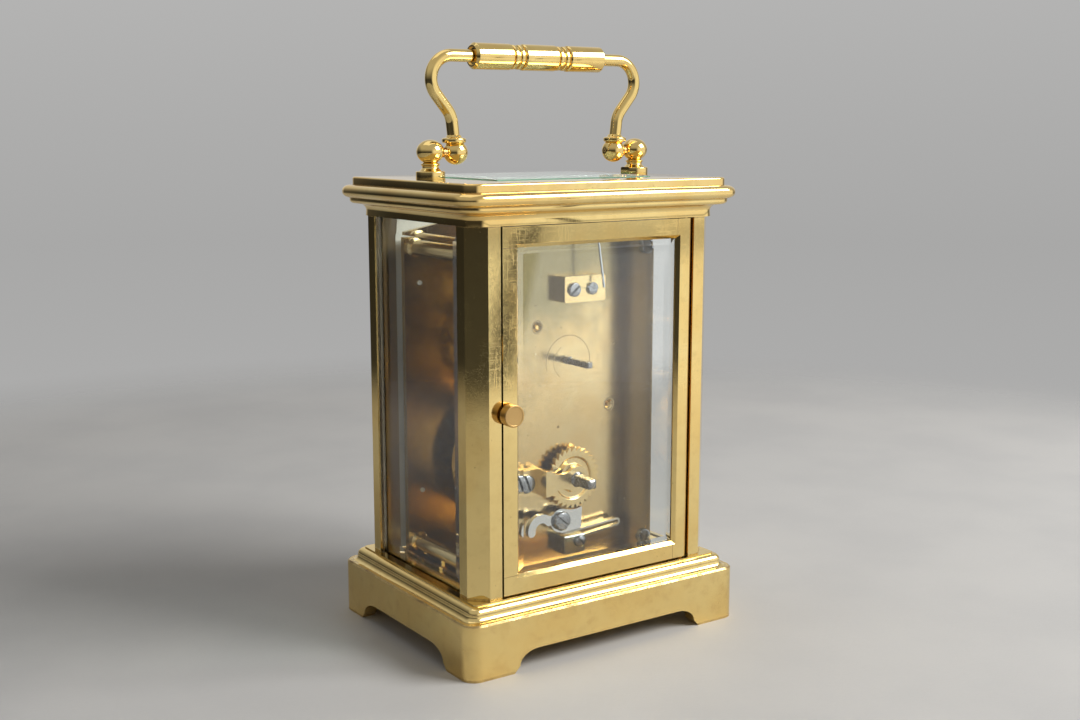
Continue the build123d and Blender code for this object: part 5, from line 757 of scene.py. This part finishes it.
def ratchetWheel(look):
    # rings of 18 points a tooth: the outer ring's radius is a saw wave, and a dished ring is in the face
    share = np.array([0, 0.03, 0.06, 0.09, 0.12, 0.16, 0.2, 0.25, 0.3, 0.36, 0.43, 0.5, 0.58, 0.66, 0.74,
                      0.82, 0.9, 0.96])
    teeth = np.arange(look["teeth"])[:, None]
    angle = ((teeth + share) * 2 * math.pi / look["teeth"]).ravel()
    wave = np.interp(share, [0, 0.12, 0.2, 1.0], [1, 0, 0, 1])
    outer = look["radius"] - look["depth"] * np.tile(wave, look["teeth"])
    face, back, bore = look["face"], look["back"], look["bore"]
    ring = roundCorners([(bore, 0)] + list(look["ring"]), look["ringBends"], 4)
    radii = [bore, *ring[:, 0], outer - look["chamfer"], outer, outer, bore]
    radii = np.stack([np.broadcast_to(radius, angle.shape) for radius in radii])
    heights = np.array([back, *(face - ring[:, 1]), face, face - 0.1, back, back])[:, None]
    grid = np.stack([look["x"] + radii * np.cos(angle), np.broadcast_to(heights, radii.shape),
                     look["z"] - radii * np.sin(angle)], axis=-1)
    return shell(grid[::-1])


makePiece("ratchet_wheel_cut", [ratchetWheel(ratchetLook)], ratchetBrass, "winding_arbor",
          ["ratchet_wheel"], 30)
print("movement pieces cut")


# dial side: hands and numerals

handLook = {"centre": (0.0, 68.6),
            "hour": {"back": -21.45, "length": 12.5, "hub": 2.3, "stem": 0.5, "spade": 1.5, "turn": 304},
            "minute": {"back": -22.05, "length": 18.5, "hub": 1.5, "stem": 0.4, "spade": 1.25, "turn": 48}}


def clockHand(look, centre, thick=0.3):
    # rows along the hand: each section is a low roof, as wide as the wider of the hub's circle and the leaf
    length, hub = look["length"], look["hub"]
    hubRows = hub * np.sin(np.linspace(-math.pi / 2, math.pi / 2, 33))
    s = np.unique(np.concatenate([hubRows, np.linspace(hub, length, 60)]))
    circle = np.sqrt(np.maximum(hub ** 2 - s ** 2, 0))
    stem, spade = look["stem"], look["spade"]
    leaf = np.interp(s / length, [0, 0.58, 0.66, 0.74, 0.80, 0.86, 1.0],
                     [stem, stem * 0.8, spade * 0.75, spade, spade * 0.72, stem, 0])
    width = np.maximum(circle, np.where(s > 0, leaf, 0))
    width[[0, -1]] = 0
    across = np.array([0, 1, 1, 0.35, 0, -0.35, -1, -1])
    height = np.array([0, 0, 0.45, 0.93, 1, 0.93, 0.45, 0])
    angle = math.radians(look["turn"])
    direction = np.array([math.sin(angle), 0, math.cos(angle)])
    side = np.array([math.cos(angle), 0, -math.sin(angle)])
    grid = (np.array([centre[0], look["back"], centre[1]]) + s[:, None, None] * direction
            + (width[:, None] * across)[..., None] * side)
    grid[..., 1] -= height * thick * np.minimum(1, width[:, None] / 0.05)
    return shell(grid[:, ::-1])


for name, body in (("hour", "hour_work"), ("minute", "setting_arbor")):
    makePiece(f"{name}_hand_leaf", [clockHand(handLook[name], handLook["centre"])], blueSteel, body,
              [f"{name}_hand"], 20)

numeralLook = {"centre": (0.0, 68.6), "front": -21.15, "radius": 16.2, "height": 3.7, "thick": 0.03,
               "serif": 0.035, "serifShare": 0.86,
               # each letter: its width, and its strokes as foot x, head x and thickness
               "letters": {"I": (0.95, ((0.475, 0.475, 0.42),)),
                           "V": (2.1, ((1.1, 0.35, 0.46), (1.05, 1.8, 0.16))),
                           "X": (2.1, ((1.75, 0.35, 0.46), (0.35, 1.75, 0.16)))},
               "hours": ("XII", "I", "II", "III", "IIII", "V", "VI", "VII", "VIII", "IX", "X", "XI")}


def romanNumerals(look):
    # every stroke is a thin slab: four corners in the numeral's own flat, turned to its hour, off the dial
    strokes, serif = [], look["serif"]
    for hour, word in enumerate(look["hours"]):
        total = sum(look["letters"][letter][0] for letter in word)
        start = -total / 2
        for letter in word:
            width, parts = look["letters"][letter]
            for foot, head, thick in parts:
                strokes.append((hour, start + foot, start + head, thick, -0.5, 0.5))
            middle = start + width / 2
            for edge in (-0.5, 0.5 - serif):
                strokes.append((hour, middle, middle, width * look["serifShare"], edge, edge + serif))
            start += width
    hour, foot, head, thick, low, high = np.array(strokes).T
    u = np.stack([foot - thick / 2, foot + thick / 2, head + thick / 2, head - thick / 2], axis=1)
    v = np.stack([low, low, high, high], axis=1) * look["height"] + look["radius"]
    angle = hour[:, None] * math.pi / 6
    x = look["centre"][0] + u * np.cos(angle) + v * np.sin(angle)
    z = look["centre"][1] - u * np.sin(angle) + v * np.cos(angle)
    y = np.full(x.shape, look["front"])
    under, over = (np.stack([x, level, z], axis=-1) for level in (y, y - look["thick"]))
    points = np.concatenate([under, over], axis=1)
    corner = np.array([(0, 3, 2, 1), (4, 5, 6, 7), (0, 1, 5, 4), (1, 2, 6, 5), (2, 3, 7, 6), (3, 0, 4, 7)])
    faces = (np.arange(len(points))[:, None, None] * 8 + corner[None]).reshape(-1, 4)
    return points.reshape(-1, 3), faces, np.zeros((0, 3), int)


inkBlack = Finish("inkBlack")
inkPoint = inkBlack.point()
inkColour = inkBlack.between(inkBlack.noise(inkPoint, 2.0, 3), (0.010, 0.010, 0.012), (0.03, 0.028, 0.026))
inkBlack.show(Base_Color=inkColour, Roughness=inkBlack.noise(inkPoint, 1.2, 3) * 0.2 + 0.25)
makePiece("dial_numerals", [romanNumerals(numeralLook)], inkBlack, "case", ())
print("hands and numerals set")


# floor, studio, camera

floorLook = {"colour": (0.62, 0.605, 0.58), "shade": (0.55, 0.54, 0.525), "pale": (0.85, 0.85, 0.84),
             "fleck": (0.16, 0.15, 0.15), "rings": 40,
             # where the paper starts to fade, where it is gone, and the disc's rim
             "solid": 270.0, "gone": 430.0, "radius": 460.0}


def floorDisc(look):
    # polar rows closer together towards the middle, all at the height of the feet
    radius = look["radius"] * np.linspace(0, 1, look["rings"]) ** 1.5
    return shell(turned(np.stack([np.zeros_like(radius), radius], axis=1)[::-1], (0, 0, 0)))


def floorFinish(look):
    f = Finish("paperFloor")
    point = f.point()
    x, y, z = f.split(point)
    fibre = f.noise(f.stretched(point, (0.5, 1.4, 1.0), (0, 0, 0.6)), 1.0, 5, 0.7)
    cloud = f.fade(f.noise(point, 0.02, 4), 0.35, 0.7)
    white = f.fade(f.noise(point, 0.35, 2), 0.80, 0.83)
    dark = f.fade(f.noise(f.stretched(point, (1, 1, 1), (0, 0, 1.3)), 0.25, 2), 0.81, 0.83)
    colour = f.between(cloud * 0.6 + fibre * 0.3, look["colour"], look["shade"])
    colour = f.between(white * 0.5, colour, look["pale"])
    colour = f.between(dark * 0.7, colour, look["fleck"])
    paper = f.node("ShaderNodeBsdfPrincipled", None, {"Base Color": colour, "Roughness": fibre * 0.2 + 0.6,
                                                      "Normal": f.relief(fibre, 0.05)})
    reach = (x * x + y * y).maths("SQRT")
    gone = f.fade(reach, look["solid"], look["gone"])
    clear = f.node("ShaderNodeBsdfTransparent")
    faded = f.node("ShaderNodeMixShader", None, {0: gone, 1: paper, 2: clear})
    f.node("ShaderNodeOutputMaterial", None, {"Surface": faded})
    return f


floor = makePiece("paper_floor", [floorDisc(floorLook)], floorFinish(floorLook))

studioLook = {"fill": 0.17,
              # grey by the direction's Z plus a half: behind everything, and on the dim sides gloss finds
              "plain": ((0.25, 0.43), (0.42, 0.395), (0.5, 0.42), (0.6, 0.46), (1.0, 0.46)),
              "dim": ((0.1, 0.4), (0.285, 0.38), (0.30, 0.06), (0.47, 0.04), (0.6, 0.16), (0.85, 0.42),
                      (1.0, 0.5)),
              "key": {"place": (-0.47, 0.50, 0.56), "size": (0.50, 0.42), "power": 7.3},
              "soft": {"place": (0.05, -0.2, 0.95), "size": (0.7, 0.7), "power": 0.9}}


def studioWorld(look):
    # plain grey behind everything; gloss also finds a bright side at -X +Y that a dark upright shape partly
    # hides, a pale far side at -X -Y that flat tops mirror, and dim sides elsewhere
    world = bpy.data.worlds.new("studio")
    bpy.context.scene.world = world
    f = Finish("studio", world)
    direction = f.node("ShaderNodeTexCoord", output="Generated")
    x, y, z = f.split(direction)
    bright = f.fade(x * -0.6 + y * 0.8, 0.5, 0.86)
    height = z + 0.5
    plain = f.node("ShaderNodeValToRGB", {"stops": look["plain"]}, {0: height})
    place = x + z * 0.231
    upright = f.fade(place, -0.586, -0.578) * f.fade(place, -0.558, -0.564)
    upright = upright * f.fade(z, -0.197, -0.187) * f.fade(z, -0.05, -0.07)
    shade = largest(upright, f.fade(z, -0.095, -0.085) * f.fade(z, -0.060, -0.068) * 0.5)
    lit = (1 - f.fade(z, 0.1, 0.6) * 0.35) * (1 - shade * 0.94)
    dim = f.node("ShaderNodeValToRGB", {"stops": look["dim"]}, {0: height})
    dim = dim * (1 - f.fade(x * 0.556 - y * 0.814, 0.75, 0.95) * 0.4)
    behind = f.fade(x * -0.564 - y * 0.826, 0.5, 0.9)
    far = f.fade(z, -0.02, 0.1) * 0.24 + 0.42
    gloss = lit * bright + dim * (1 - bright)
    gloss = gloss + behind * (far - gloss)
    through = plain + bright * (lit - plain)
    path = f.node("ShaderNodeLightPath", output="Is Camera Ray")
    camera, glossy, transmission = (Wire(f, path.socket.node.outputs[name]) for name in
                                    ("Is Camera Ray", "Is Glossy Ray", "Is Transmission Ray"))
    rest = 1 - camera - glossy - transmission
    level = plain * camera + gloss * glossy + through * transmission + rest * look["fill"]
    background = f.node("ShaderNodeBackground", None, {"Color": (1.0, 0.995, 0.985, 1), "Strength": level})
    f.node("ShaderNodeOutputWorld", None, {"Surface": background})


def areaLamp(name, look, aim=(0, 0, 0.06)):
    lamp = bpy.data.lights.new(name, "AREA")
    lamp.shape = "RECTANGLE"
    lamp.size, lamp.size_y = look["size"]
    lamp.energy = look["power"]
    lampObject = bpy.data.objects.new(name, lamp)
    lampObject.location = look["place"]
    lampObject.rotation_euler = (Vector(aim) - Vector(look["place"])).to_track_quat("-Z", "Y").to_euler()
    lampObject.visible_camera = False
    bpy.context.scene.collection.objects.link(lampObject)


studioWorld(studioLook)
areaLamp("key_softbox", studioLook["key"])
areaLamp("top_fill", studioLook["soft"])

cameraLook = {"place": (0.1927, 0.2834, 0.1255), "looks": (-0.5557, -0.8140, -0.1690), "lens": 45.59,
              "sensor": 36.0, "nearest": 0.01}
cameraData = bpy.data.cameras.new("camera")
cameraData.lens, cameraData.sensor_width = cameraLook["lens"], cameraLook["sensor"]
cameraData.clip_start = cameraLook["nearest"]
camera = bpy.data.objects.new("camera", cameraData)
camera.location = cameraLook["place"]
camera.rotation_euler = Vector(cameraLook["looks"]).to_track_quat("-Z", "Y").to_euler()
bpy.context.scene.collection.objects.link(camera)
bpy.context.scene.camera = camera
bpy.context.scene.view_settings.view_transform = "Standard"
print("studio lit")
